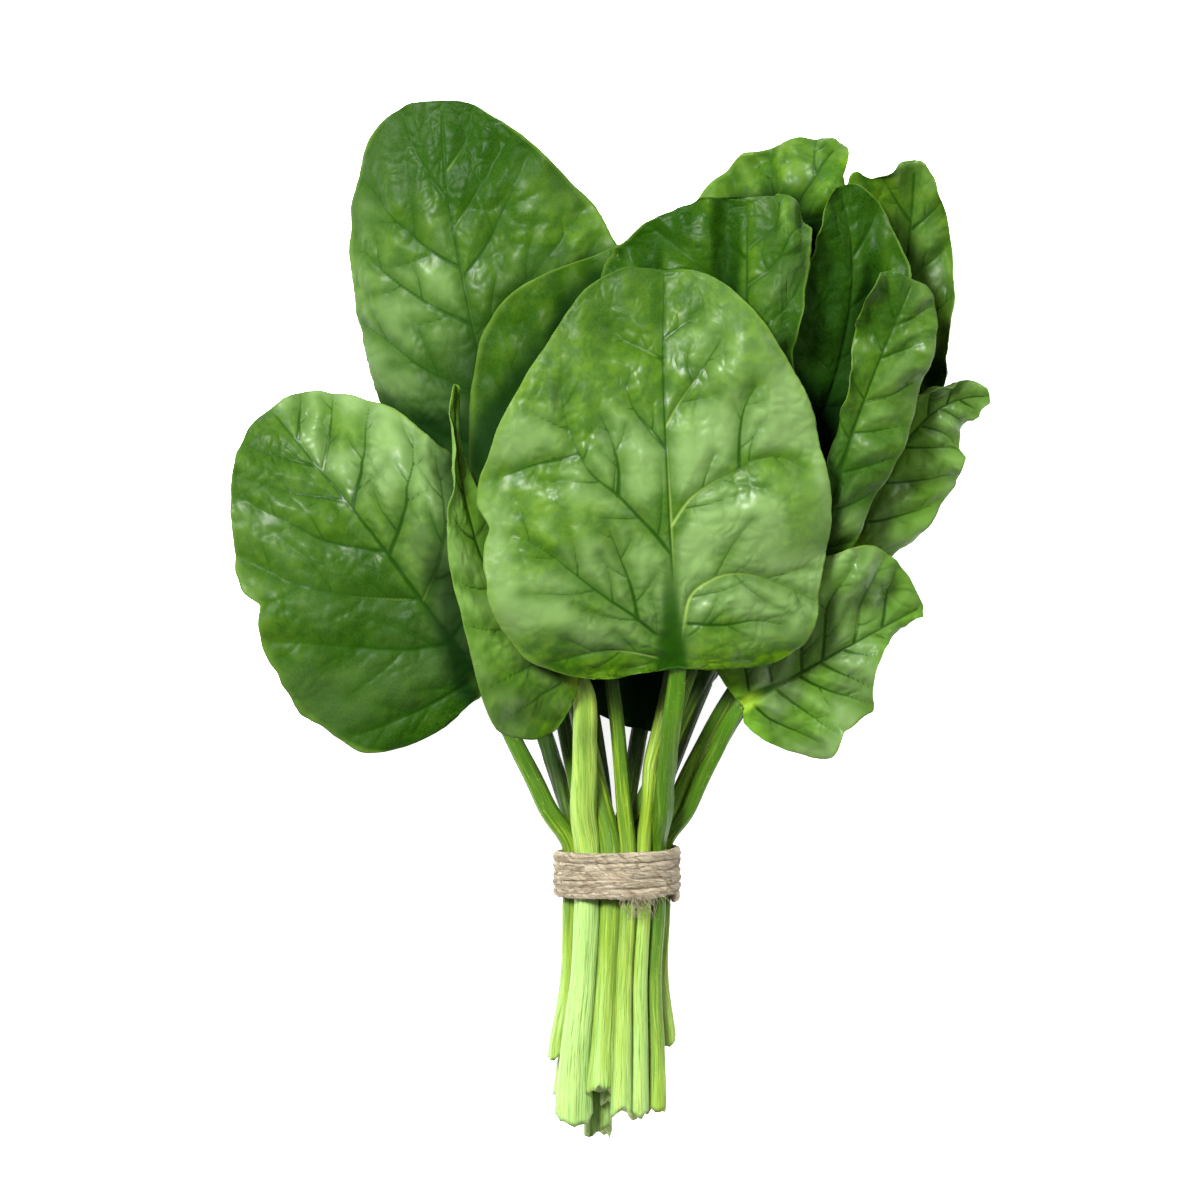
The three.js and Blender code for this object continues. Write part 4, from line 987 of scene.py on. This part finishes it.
def blade_piece(leaf, surroundings, material):
    sheet = FlatBlade(leaf)
    top, bottom, ends = sheet.faces_apart()

    # the first and the last row are single points, shared by both faces
    inner = slice(1, -1)
    top_index = flat_index(top[inner].shape[:2], 2)
    bottom_index = flat_index(bottom[inner].shape[:2], 2 + top_index.size)
    points = np.vstack([ends, top[inner].reshape(-1, 3), bottom[inner].reshape(-1, 3)])
    points[:, 2] = np.maximum(points[:, 2], LOWEST)
    left_wall = np.stack([top_index[:, 0], bottom_index[:, 0]], 1)
    right_wall = np.stack([bottom_index[:, -1], top_index[:, -1]], 1)
    quads = [quads_of(top_index), quads_of(bottom_index, flip=True),
             quads_of(left_wall, flip=True), quads_of(right_wall, flip=True)]
    fans = [fan_at(top_index, 0), fan_at(top_index, 1),
            fan_at(bottom_index, 0, flip=True), fan_at(bottom_index, 1, flip=True)]

    def on_points(values):
        low = values[inner, ::UNDERSIDE_COARSENESS]
        ends = values[[0, -1], len(sheet.v) // 2]
        return np.concatenate([ends, values[inner].ravel(), low.ravel()])

    under = (np.arange(len(points)) >= bottom_index[0, 0]).astype(float)
    stalky = (1 - smoothstep(sheet.y, 1, 10)) * hump(sheet.x, leaf["radius"], 4)
    if leaf["name"] == FRONT_LEAF:
        stalky = 0 * stalky
    shade = shelter(surroundings, points) * SHADE_TAKEN.get(leaf["name"], 1)
    attributes = dict(
        flat=np.stack([on_points(sheet.x), on_points(sheet.y), under * 0 + sheet.seed], 1),
        edge=on_points(np.abs(sheet.across)),
        under=under,
        stalky=on_points(stalky),
        shade=shade * (1 - 0.6 * under),
    )
    for mark in ("groove", "pale", "pillow", "net", "tone", "painted_sheen"):
        attributes[mark] = on_points(getattr(sheet, mark))
    faces = [*np.concatenate(quads).tolist(), *np.concatenate(fans).tolist()]
    uvs = blade_uvs(sheet, top_index, bottom_index, quads, fans)
    name = leaf["name"] + "_blade"
    make_piece(name + "_fine", points, faces, uvs, attributes, material, name)


# ---------------------------------------------------------------- stalks

STALK_SIDES = 22  # corners of each ring
STALK_ANGLES = 2 * np.pi * np.arange(STALK_SIDES) / STALK_SIDES
FINE_STEPS = dict(below=46, bundle=22, reach=46, rib=60)
FINE_RIB_GAP = 0.9
BEND_REACH = 5  # how far along a stalk a bend is spread out
FINE_RADIUS = 0.985  # of a stalk before its ridges, against the solids
STALK_SWELLING = 0.04  # how much thicker and thinner it gets on its way, as a share
CUT_TURN = 1.8  # radians that it may be turned at its cut end
FINE_CUT_FLARE = 0.14  # on top of the solids' flare, over the last CUT_FLARE_REACH
CUT_FLARE_REACH = 16
FLATNESS = 0.13  # of a stalk below its blade: broader and lower by this share
CUT_WAVES, CUT_LOBES, CUT_SPLINTERS = 1.6, 1.1, 0.5  # how far each kind juts out of the torn cut
TORN_REACH = 7  # how far up the stalk they still tell
CHANNEL_DEPTH = 0.34  # of the channel on a stalk's upper side, as a share of its radius
CUT_RINGS = ((0.2, 1.3), (0.45, 1.5), (0.75, 0.9), (0.93, 0.2))  # radius and depth of each
RIDGES = ((3, 0.06), (5, 0.04), (8, 0.04), (13, 0.025))  # number round the stalk, and height
# Per leaf: 0 is as the material has it, less is darker green, and more is paler.
STALK_TONES = dict.fromkeys(HIDDEN_LEAVES, -0.8) | dict(
    leaf_05=-0.6, leaf_06=-0.8, leaf_07=-0.9, leaf_08=-0.9, leaf_09=-0.3, leaf_10=-0.9,
    leaf_11=-1.0, leaf_12=-0.7, leaf_13=-0.6, leaf_14=-0.5, leaf_15=-0.9, leaf_16=-1.4,
    leaf_17=1.9, leaf_18=-1.7,
)


def evened(line, shares):
    """The line with its bends spread out, by the share given for each of its points."""
    run = length_along(line)
    weights = hump(run[:, None] - run, BEND_REACH) * np.gradient(run)
    mean = weights @ line / weights.sum(axis=1)[:, None]
    return lerp(line, mean, shares[:, None])


def stalk_uvs(rings):
    """The map: round the stalk along one side, from the cut to the tip along the other."""
    u = np.linspace(0, 1, STALK_SIDES + 1)
    v = np.linspace(0.01, 0.99, rings)
    grid = np.stack(np.broadcast_arrays(u[None, :], v[:, None]), -1)
    uvs = [grid.reshape(-1, 2)[quads_of(flat_index(grid.shape[:2], 0), flip=True)]]
    for row, tip, turn in ((0, 0.0, 1), (-1, 1.0, -1)):
        a, b = (grid[row][:-1], grid[row][1:])[::turn]
        middle = np.stack([(a[:, 0] + b[:, 0]) / 2, a[:, 1] * 0 + tip], 1)
        uvs.append(np.stack([middle, a, b], 1))
    return np.concatenate([uv.reshape(-1, 2) for uv in uvs])


def stalk_outline(leaf, way, run, rng, seed):
    """How far each corner of each ring is from the stalk's middle line: round, with ridges, and
    with a channel on top. Also how deep in the channel it is, and its place for the markings."""
    turned = rng.uniform(-CUT_TURN, CUT_TURN) * (1 - smoothstep(way, 0.45, 1.0))
    hollowness = rng.uniform(0.35, 1)
    spin = STALK_ANGLES[None, :] + turned[:, None]
    swell = 1 + STALK_SWELLING * noise(run / 14, run * 0 + 3.3, seed)
    size = stalk_radius(leaf, way) * swell * FINE_RADIUS
    ridge = 0
    for count, height in RIDGES:
        phase = rng.uniform(0, 6.28) + run[:, None] * rng.uniform(-0.012, 0.012)
        ridge = ridge + height * np.cos(count * spin + phase)
    upper_side = np.maximum(np.sin(spin), 0) ** 5
    deep = CHANNEL_DEPTH * smoothstep(way, 0.3, 1) * (1 - smoothstep(way, 1.25, 1.6))
    deep = deep * lerp(hollowness, 1, smoothstep(way, 0.8, 1))
    end_flare = 1 + FINE_CUT_FLARE * (1 - smoothstep(run, 0, CUT_FLARE_REACH))
    reach = (size * end_flare)[:, None] * (1 + ridge - deep[:, None] * upper_side)
    channel = upper_side * (deep / CHANNEL_DEPTH)[:, None]
    return reach, channel, [size[:, None] * np.cos(spin), size[:, None] * np.sin(spin)]


def torn_cut(rings, line, forward, run, rng, seed):
    """The stalk's rings with a ragged end, after the rings of the cut from its middle outwards."""
    angle = STALK_ANGLES
    ragged = CUT_WAVES * noise(angle * 6 / 6.283, angle * 0 + 0.5, seed + 1)
    ragged = ragged + CUT_LOBES * np.cos(angle * 2 + rng.uniform(0, 6))
    ragged = ragged + rng.normal(0, CUT_SPLINTERS, STALK_SIDES)
    fade = (1 - smoothstep(run, 0, TORN_REACH))[:, None, None]
    rings = rings - forward[:, None] * ragged[None, :, None] * fade
    cut = []
    for share, depth in CUT_RINGS:
        wobble = rng.normal(0, 0.25, STALK_SIDES)
        ring = line[0] + (rings[0] - line[0]) * share
        cut.append(ring + forward[0] * (depth + wobble)[:, None])
    return np.concatenate([cut, rings])


def stalk_piece(leaf, surroundings, material):
    seed = seed_of(leaf) + 50
    rng = np.random.default_rng(seed)
    steps = {key: max(int(count * DETAIL), 8) for key, count in FINE_STEPS.items()}
    line, uppers, way, _ = stalk_line(leaf, steps, FINE_RIB_GAP)
    line = evened(line, smoothstep(way, 0.45, 0.6) * (1 - smoothstep(way, 0.96, 1.0)))
    forward = unit(np.gradient(line, axis=0))
    right = unit(np.cross(forward, uppers))
    top = unit(np.cross(right, forward))
    run = length_along(line)

    reach, channel, places = stalk_outline(leaf, way, run, rng, seed)
    flatness = FLATNESS * (1 - smoothstep(way, 0.9, 1.05))
    sideways = reach * np.cos(STALK_ANGLES) * (1 + flatness)[:, None]
    upwards = reach * np.sin(STALK_ANGLES) * (1 - flatness)[:, None]
    rings = line[:, None] + right[:, None] * sideways[..., None]
    rings = rings + top[:, None] * upwards[..., None]

    rings = torn_cut(rings, line, forward, run, rng, seed)
    tips = np.stack([line[0] + forward[0] * 1.1, line[-1] + forward[-1] * 0.4])
    points = np.vstack([tips, rings.reshape(-1, 3)])
    points[:, 2] = np.maximum(points[:, 2], LOWEST)

    index = flat_index(rings.shape[:2], 2)
    index = np.hstack([index, index[:, :1]])
    fans = [fan_at(index, 0, flip=True), fan_at(index, 1, flip=True)]

    def on_points(values):
        values = values + np.zeros_like(reach)
        padded = np.concatenate([np.repeat(values[:1], len(CUT_RINGS), 0), values])
        return np.concatenate([[values[0].mean(), values[-1].mean()], padded.ravel()])

    inside = np.zeros(len(points))
    inside[0] = 1
    inside[2:2 + len(CUT_RINGS) * STALK_SIDES] = 1
    places.append(run[:, None])
    attributes = dict(
        flat=np.stack([on_points(place) for place in places], 1) + (seed, seed, 0),
        way=on_points(way[:, None]),
        channel=on_points(channel),
        cut=inside,
        tone=on_points(STALK_TONES[leaf["name"]]),
        shade=shelter(surroundings, points),
    )
    faces = [*quads_of(index, flip=True).tolist(), *np.concatenate(fans).tolist()]
    name = leaf["name"] + "_stalk"
    make_piece(name + "_fine", points, faces, stalk_uvs(len(rings)), attributes, material,
               name)


# ---------------------------------------------------------------- the twine

CORD_STEP = 0.6
CORD_SIDES = 20  # corners of each ring
CORD_LAY = 9.0  # how far along it a strand winds once round the cord
CORD_STRANDS = 3
CORD_WAVER = 0.55  # how far the wraps lie unevenly along the bundle
FUZZ_RADIUS = 0.055
FIBRES = [("end", 170, 1), ("laid", 900, 2.4), ("frayed", 40, 2.2)]  # number, and thickness
FIBRE_SHARES = np.linspace(0, 1, 7)[:, None]  # of the way along a fibre


def twine_line(share):
    angle = 2 * np.pi * TWINE_TURNS * share - np.pi / 2
    out = TWINE_SLACK + TWINE_RADIUS
    outwards = np.stack([np.cos(angle), 0 * angle, np.sin(angle)], -1)
    line = np.stack([
        (NECK_HALF_WIDTH + out) * np.cos(angle),
        TWINE_PITCH * TWINE_TURNS * (0.5 - share) - TWINE_SAG * np.sin(angle),
        NECK_CENTRE_Z + (NECK_HALF_HEIGHT + out) * np.sin(angle),
    ], -1)
    return line, outwards


def tube(line, radius, sides, outwards):
    """Rings round a line. The first corner of each looks outwards."""
    forward = unit(np.gradient(line, axis=0))
    aside = unit(np.cross(forward, outwards))
    out = np.cross(aside, forward)
    angle = 2 * np.pi * np.arange(sides) / sides
    turned = out[:, None] * np.cos(angle)[:, None] + aside[:, None] * np.sin(angle)[:, None]
    return line[:, None] + turned * np.broadcast_to(radius, turned.shape[:2])[..., None]


def tube_faces(rings, first):
    index = flat_index(rings.shape[:2], first)
    closed = np.hstack([index, index[:, :1]])
    ends = [index[0][::-1].tolist(), index[-1].tolist()]
    return [*quads_of(closed).tolist(), *ends]


def cord_piece(material):
    """The cord, of strands laid round each other. Returns its middle line and its outer side."""
    share = np.linspace(0, 1, 4000)
    length = length_along(twine_line(share)[0])
    run = np.linspace(0, length[-1], int(length[-1] / CORD_STEP * DETAIL))
    share = np.interp(run, length, share)
    line, outwards = twine_line(share)
    line[:, 1] += CORD_WAVER * noise(run / 14, run * 0 + 0.3, 71) * np.sin(np.pi * share) ** 0.3
    line += outwards * (0.12 * noise(run / 9, run * 0 + 0.3, 72))[:, None]
    corner = 2 * np.pi * np.arange(CORD_SIDES) / CORD_SIDES
    around = corner[None, :] - 2 * np.pi * run[:, None] / CORD_LAY
    strands = 0.96 + 0.07 * np.abs(np.cos(CORD_STRANDS * around / 2))
    plump = 1 + 0.12 * noise(run / 5, run * 0 + 0.3, 73)[:, None]
    coarse = 1 + 0.07 * noise(run[:, None] / 2.5, corner[None, :] * 3, 74)
    flattened = 1 + 0.3 * np.sin(corner) ** 2 - 0.14 * np.cos(corner) ** 2
    radius = TWINE_RADIUS * strands * plump * coarse * flattened
    rings = tube(line, radius, CORD_SIDES, outwards)
    points = rings.reshape(-1, 3)
    points[:, 2] = np.maximum(points[:, 2], 0)
    around = around.ravel()
    along = np.repeat(run, CORD_SIDES)
    attributes = dict(
        flat=np.stack([np.cos(around) * 1.2, np.sin(around) * 1.2, along], 1),
        crease=1 - np.abs(np.cos(CORD_STRANDS * around / 2)) ** 0.8,
    )
    make_piece("twine_fine", points, tube_faces(rings, 0), None, attributes, material,
               "twine")
    return line, outwards


def fibre_on(line, outwards, low_front, kind, rng):
    """The points of a loose end, of a fibre laid along the cord or of one in the frayed tuft, and
    the way that it looks out."""
    u = FIBRE_SHARES
    arch = np.sin(np.pi * u)
    k = int(rng.integers(10, len(line) - 12))
    forward = unit(line[k + 1] - line[k - 1]) * rng.choice((-1, 1))
    turn = rng.uniform(-1.3, 1.3)
    out = unit(outwards[k] * math.cos(turn) + np.array([0, math.sin(turn), 0]))
    bend = unit(rng.normal(size=3))
    if kind == "end":
        reach = rng.uniform(1.5, 6)
        way = forward * u * reach + bend * (0.3 * reach * u**2)
        way = way + out * (0.9 + 0.5 * reach * u**1.6 * rng.uniform(0.1, 0.8))
        return line[k] + way, out
    if kind == "laid":
        reach = rng.uniform(4, 9)
        at = k + (u[:, 0] * reach / CORD_STEP * DETAIL).astype(int)
        drift = np.array([0, rng.uniform(-1.6, 1.6), 0])
        lift = TWINE_RADIUS * (1.0 + 0.06 * arch)
        return line[np.clip(at, 0, len(line) - 1)] + out * lift + drift * (u - 0.5), out
    k = int(rng.choice(low_front))
    reach = rng.uniform(3, 8)
    down = np.array([rng.uniform(-0.8, 0.8), -1, -0.1])
    curl = np.array([rng.uniform(-0.5, 0.5), 0, 0.1]) * arch
    return line[k] + outwards[k] * 0.7 + reach * (down * u + curl), out


def fuzz_piece(line, outwards, material):
    rng = np.random.default_rng(7)
    low_front = np.flatnonzero((line[:, 1] < -4.2) & (np.abs(line[:, 0] - 7) < 5)
                               & (outwards[:, 2] > 0))
    points, faces, first = [], [], 0
    for kind, count, thickness in FIBRES:
        radius = FUZZ_RADIUS * thickness * (1 - 0.6 * FIBRE_SHARES)
        for _ in range(count):
            fibre, out = fibre_on(line, outwards, low_front, kind, rng)
            fibre[:, 2] = np.maximum(fibre[:, 2], 0.1)
            rings = tube(fibre, radius, 3, out[None, :] + 0 * fibre)
            points.append(rings.reshape(-1, 3))
            faces += tube_faces(rings, first)
            first += len(points[-1])
    points = np.vstack(points)
    attributes = dict(flat=points.copy(), crease=np.zeros(len(points)))
    make_piece("twine_fuzz", points, faces, None, attributes, material, "twine")


# ---------------------------------------------------------------- materials


def colour(red, green, blue):
    return (red, green, blue, 1.0)


class Shader:
    """A material with one Principled shader, and short ways to add nodes to it."""

    def __init__(self, name, **settings):
        self.material = bpy.data.materials.new(name)
        self.material.use_nodes = True
        self.nodes = self.material.node_tree.nodes
        self.links = self.material.node_tree.links
        self.shader = self.nodes["Principled BSDF"]
        self.set(**settings)

    def set(self, **settings):
        for key, value in settings.items():
            self.connect(self.shader.inputs[key.replace("_", " ")], value)

    def connect(self, socket, value):
        if isinstance(value, bpy.types.NodeSocket):
            self.links.new(value, socket)
        else:
            socket.default_value = value

    def add(self, kind, output, inputs, **settings):
        node = self.nodes.new("ShaderNode" + kind)
        for key, value in settings.items():
            setattr(node, key, value)
        for key, value in inputs.items():
            self.connect(node.inputs[key], value)
        return node.outputs[output]

    def attribute(self, name, output="Fac"):
        return self.add("Attribute", output, {}, attribute_name=name)

    def math(self, operation, a, b):
        return self.add("Math", 0, {0: a, 1: b}, operation=operation)

    def vector(self, operation, a, b):
        return self.add("VectorMath", 0, {0: a, 1: b}, operation=operation)

    def noise(self, place, scale, detail=2.0, rough=0.5):
        inputs = {"Vector": place, "Scale": scale, "Detail": detail, "Roughness": rough}
        return self.add("TexNoise", "Fac", inputs)

    def drawn_out(self, place, share, scale, detail, rough):
        """Noise that is drawn out along the third axis, by a share of its fineness."""
        return self.noise(self.vector("MULTIPLY", place, (1.0, 1.0, share)), scale, detail, rough)

    def between(self, value, low, high, start=0.0, end=1.0):
        """From start to end as the value goes from low to high."""
        inputs = {"Value": value, "From Min": low, "From Max": high, "To Min": start,
                  "To Max": end}
        return self.add("MapRange", "Result", inputs, interpolation_type="SMOOTHSTEP")

    def mix(self, share, a, b):
        inputs = {0: share, 6: a, 7: b}
        return self.add("Mix", 2, inputs, data_type="RGBA")

    def paint(self, base, *layers):
        """A base colour under layers. Each has its share and its colour, the lowest first."""
        for share, tint in layers:
            base = self.mix(share, base, tint)
        return base

    def bumps(self, *heights):
        """Gives the surface bumps: each a height and how far it reaches in metres."""
        inputs = {}
        for height, distance in heights:
            inputs = {"Height": height, "Distance": distance, **inputs}
            inputs = {"Normal": self.add("Bump", "Normal", inputs)}
        self.set(**inputs)


def blade_material():
    s = Shader("blade_skin", IOR=1.42, Specular_IOR_Level=0.045, Coat_Roughness=0.37)
    place = s.attribute("flat", "Vector")
    tone, groove = s.attribute("tone"), s.attribute("groove")
    shade, under = s.attribute("shade"), s.attribute("under")
    warp = s.add("TexNoise", "Color", {"Vector": place, "Scale": 0.35})
    warped = s.vector("ADD", place, s.vector("MULTIPLY", warp, (1.6, 1.6, 1.6)))
    patches = s.noise(place, 0.045, 3.0, 0.55)
    mottle = s.noise(warped, 0.22, 4.0, 0.6)
    grain = s.noise(place, 1.6, 3.0, 0.6)
    meshes = s.add("TexVoronoi", "Distance", {"Vector": warped, "Scale": 0.9},
                   feature="DISTANCE_TO_EDGE")
    fine_net = s.between(meshes, 0.0, 0.16, 1.0, 0.0)
    underside = s.mix(s.between(groove, 0.15, 0.6), colour(0.06, 0.11, 0.018),
                      colour(0.11, 0.17, 0.035))
    s.set(Base_Color=s.paint(
        colour(0.015, 0.048, 0.001),
        (s.between(patches, 0.38, 0.62), colour(0.028, 0.07, 0.001)),
        (s.between(mottle, 0.42, 0.66, 0.0, 0.85), colour(0.047, 0.095, 0.0015)),
        (s.between(mottle, 0.52, 0.32, 0.0, 0.6), colour(0.008, 0.033, 0.001)),
        # tone: partly the leaf's own colour, partly painted light and shade
        (s.between(tone, 0.0, 1.0, 0.0, 0.9), colour(0.062, 0.142, 0.008)),
        (s.between(tone, 0.0, -1.0, 0.0, 0.95), colour(0.003, 0.019, 0.0006)),
        # painted sheen, a pale bluish glaze standing in for gloss
        (s.attribute("painted_sheen"), colour(0.088, 0.144, 0.045)),
        (s.math("MULTIPLY", s.attribute("net"), 0.2), colour(0.009, 0.033, 0.001)),
        (s.math("MULTIPLY", fine_net, 0.1), colour(0.06, 0.12, 0.005)),
        # painted shade in the hollows beside the veins
        (s.between(s.attribute("pillow"), 1.0, 0.0, 0.0, 0.42), colour(0.011, 0.038, 0.001)),
        # painted shade in the vein grooves and the trough by the stalk
        (s.between(groove, 0.2, 0.75, 0.0, 0.92), colour(0.006, 0.028, 0.0004)),
        (s.between(s.attribute("pale"), 0.15, 0.7, 0.0, 0.8), colour(0.15, 0.225, 0.045)),
        # a paler rim: partly the leaf's own pale margin, partly a painted highlight on the rim
        (s.between(s.attribute("edge"), 0.94, 1.0, 0.0, 0.5), colour(0.06, 0.11, 0.012)),
        (under, underside),
        (s.attribute("stalky"), colour(0.12, 0.2, 0.012)),
        (s.math("MULTIPLY", shade, 0.92), colour(0.001, 0.009, 0.0004)),
    ))
    gloss = s.between(s.noise(place, 0.09, 2.0, 0.5), 0.35, 0.65, 0.36, 0.5)
    gloss = s.math("ADD", gloss, s.between(grain, 0.3, 0.7, -0.03, 0.04))
    gloss = s.math("ADD", gloss, s.math("MULTIPLY", under, 0.2))
    s.set(Roughness=s.math("ADD", gloss, s.math("MULTIPLY", shade, 0.4)))
    wet = s.between(s.noise(place, 0.11, 3.0, 0.6), 0.46, 0.66, 0.0, 0.3)
    wet = s.math("MULTIPLY", wet, s.between(shade, 0.0, 0.5, 1.0, 0.0))
    s.set(Coat_Weight=s.math("MULTIPLY", wet, s.between(tone, -1.0, 0.0)))
    s.bumps((grain, 0.000012))
    return s.material


def stalk_material():
    s = Shader("stalk_skin", IOR=1.42, Specular_IOR_Level=0.2)
    place = s.attribute("flat", "Vector")
    way = s.attribute("way")
    streaks = s.drawn_out(place, 0.035, 0.9, 3.0, 0.6)
    fibres = s.drawn_out(place, 0.03, 3.2, 2.0, 0.6)
    speckle = s.noise(place, 1.2, 3.0, 0.6)

    # from the pale cut end to the dark blade
    greenness = s.math("ADD", way, s.between(streaks, 0.3, 0.7, -0.3, 0.3))
    greenness = s.math("SUBTRACT", greenness, s.math("MULTIPLY", s.attribute("tone"), 0.35))
    light = s.between(greenness, 0.4, 1.2, 0.6, 0.15)
    skin = s.paint(
        colour(0.18, 0.28, 0.08),
        (s.between(greenness, 0.1, 0.6), colour(0.14, 0.21, 0.02)),
        (s.between(greenness, 0.5, 1.1), colour(0.026, 0.075, 0.002)),
        (s.math("MULTIPLY", s.between(streaks, 0.5, 0.68), light), colour(0.25, 0.32, 0.09)),
        (s.between(fibres, 0.5, 0.28, 0.0, 0.7), colour(0.035, 0.1, 0.005)),
        (s.math("MULTIPLY", s.between(fibres, 0.55, 0.72), light), colour(0.27, 0.33, 0.1)),
        # the channel: partly its own darker green, partly painted shade in the recess
        (s.between(s.attribute("channel"), 0.15, 0.8, 0.0, 0.5), colour(0.03, 0.085, 0.004)),
        (s.between(speckle, 0.62, 0.75, 0.0, 0.25), colour(0.34, 0.4, 0.2)),
    )
    s.set(Base_Color=s.paint(
        skin,
        (s.between(way, 0.45, 0.6), s.vector("MULTIPLY", skin, (1.0, 0.98, 0.6))),
        (s.attribute("cut"), colour(0.26, 0.32, 0.11)),
        (s.math("MULTIPLY", s.attribute("shade"), 0.75), colour(0.005, 0.02, 0.0008)),
    ))
    s.set(Roughness=s.between(streaks, 0.3, 0.7, 0.3, 0.46))
    s.bumps((streaks, 0.0005), (fibres, 0.00022))
    return s.material


def twine_material():
    s = Shader("jute", IOR=1.45)
    place = s.attribute("flat", "Vector")
    fibres = s.drawn_out(place, 0.12, 2.6, 4.0, 0.65)
    hairs = s.drawn_out(place, 0.07, 7.0, 2.0, 0.6)
    patches = s.drawn_out(place, 0.2, 0.7, 3.0, 0.6)
    s.set(Base_Color=s.paint(
        colour(0.2, 0.145, 0.088),
        (s.between(fibres, 0.3, 0.6), colour(0.3, 0.245, 0.165)),
        (s.between(patches, 0.42, 0.62, 0.0, 0.7), colour(0.36, 0.315, 0.235)),
        (s.between(patches, 0.44, 0.34, 0.0, 0.75), colour(0.15, 0.1, 0.055)),
        (s.between(hairs, 0.47, 0.34, 0.0, 0.7), colour(0.11, 0.07, 0.038)),
        # painted shade in the creases between the strands
        (s.between(s.attribute("crease"), 0.6, 1.0, 0.0, 0.15), colour(0.12, 0.08, 0.045)),
    ))
    s.set(Roughness=s.between(hairs, 0.3, 0.7, 0.75, 0.95))
    s.bumps((fibres, 0.0006), (hairs, 0.0003))
    return s.material


# ---------------------------------------------------------------- camera, floor and light

PHOTO_MIDDLE = (-4.76, 77)  # what the photograph's middle shows, in millimetres
PHOTO_SPAN = 336  # across the photograph, at half the bunch's height
LEAF_LEVEL = 35
CAMERA_HEIGHT = 2500
SENSOR = 36
VIEW_DEPTH = 20  # in metres, as the sizes below
FLOOR_SIDE = 6.0
FLOOR_GLOW = 0.85  # of the lit table, which lets shadows fade
WALLS, CEILING = 0.75, 0.3  # how brightly they light the bunch
LAMP_TARGET = (0, 0.08, 0.03)
LAMP_TINT = (0.97, 1.0, 0.97)


def place_in_scene(name, data, location=(0, 0, 0)):
    item = bpy.data.objects.new(name, data)
    item.location = location
    bpy.context.scene.collection.objects.link(item)
    return item


def add_camera():
    data = bpy.data.cameras.new("camera")
    data.sensor_width = SENSOR
    data.lens = SENSOR * (CAMERA_HEIGHT - LEAF_LEVEL) / PHOTO_SPAN
    data.clip_end = VIEW_DEPTH
    location = (PHOTO_MIDDLE[0] * MM, PHOTO_MIDDLE[1] * MM, CAMERA_HEIGHT * MM)
    bpy.context.scene.camera = place_in_scene("camera", data, location)


def add_floor():
    s = Shader("paper_floor", Roughness=0.9, Emission_Color=colour(1, 1, 1),
               Emission_Strength=FLOOR_GLOW)
    mottle = s.noise(s.nodes.new("ShaderNodeTexCoord").outputs["Object"], 40.0)
    s.set(Base_Color=s.mix(s.between(mottle, 0.3, 0.7), colour(0.9, 0.9, 0.9),
                           colour(0.92, 0.92, 0.92)))
    mesh = bpy.data.meshes.new("floor")
    corners = [(x * FLOOR_SIDE / 2, y * FLOOR_SIDE / 2, 0)
               for x, y in ((-1, -1), (1, -1), (1, 1), (-1, 1))]
    mesh.from_pydata(corners, [], [(0, 1, 2, 3)])
    mesh.materials.append(s.material)
    place_in_scene("floor", mesh)


def add_softbox(name, place, side, power):
    """A square area light that looks at the bunch."""
    light = bpy.data.lights.new(name, "AREA")
    light.size = side
    light.energy = power
    light.color = LAMP_TINT
    x, y, z = np.array(LAMP_TARGET) - place
    lamp = place_in_scene(name, light, place)
    lamp.rotation_euler = (math.atan2(math.hypot(x, y), -z), 0, math.atan2(x, -y) + math.pi)


def add_world():
    """White walls all round, under a dimmer ceiling."""
    world = bpy.data.worlds.new("studio")
    world.use_nodes = True
    nodes, links = world.node_tree.nodes, world.node_tree.links
    direction = nodes.new("ShaderNodeTexCoord").outputs["Generated"]
    height = nodes.new("ShaderNodeSeparateXYZ")
    links.new(direction, height.inputs[0])
    step = nodes.new("ShaderNodeMapRange")
    step.interpolation_type = "SMOOTHSTEP"
    for key, value in (("From Min", 0.45), ("From Max", 0.95), ("To Min", WALLS),
                       ("To Max", CEILING)):
        step.inputs[key].default_value = value
    links.new(height.outputs["Z"], step.inputs["Value"])
    links.new(step.outputs["Result"], nodes["Background"].inputs["Strength"])
    nodes["Background"].inputs["Color"].default_value = colour(1, 1, 1)
    bpy.context.scene.world = world


# ---------------------------------------------------------------- the bunch

add_camera()
add_floor()
add_world()
add_softbox("key", (-0.7, 0.8, 1.5), 0.5, 120)
add_softbox("fill", (1.3, 0.5, 1.3), 0.8, 20)
bpy.context.scene.view_settings.view_transform = "Standard"

bundle_stalks()
heap = HeightMap()
for leaf in LEAVES:
    settle(leaf, heap)
for leaf in LEAVES:
    even_out_rise(leaf)
heap.filter(SHADE_CELLS, np.nanmean)  # from here on it only tells what lies in the shade
blade_skin, stalk_skin, jute = blade_material(), stalk_material(), twine_material()
for leaf in LEAVES:
    blade_piece(leaf, heap, blade_skin)
    stalk_piece(leaf, heap, stalk_skin)
fuzz_piece(*cord_piece(jute), jute)
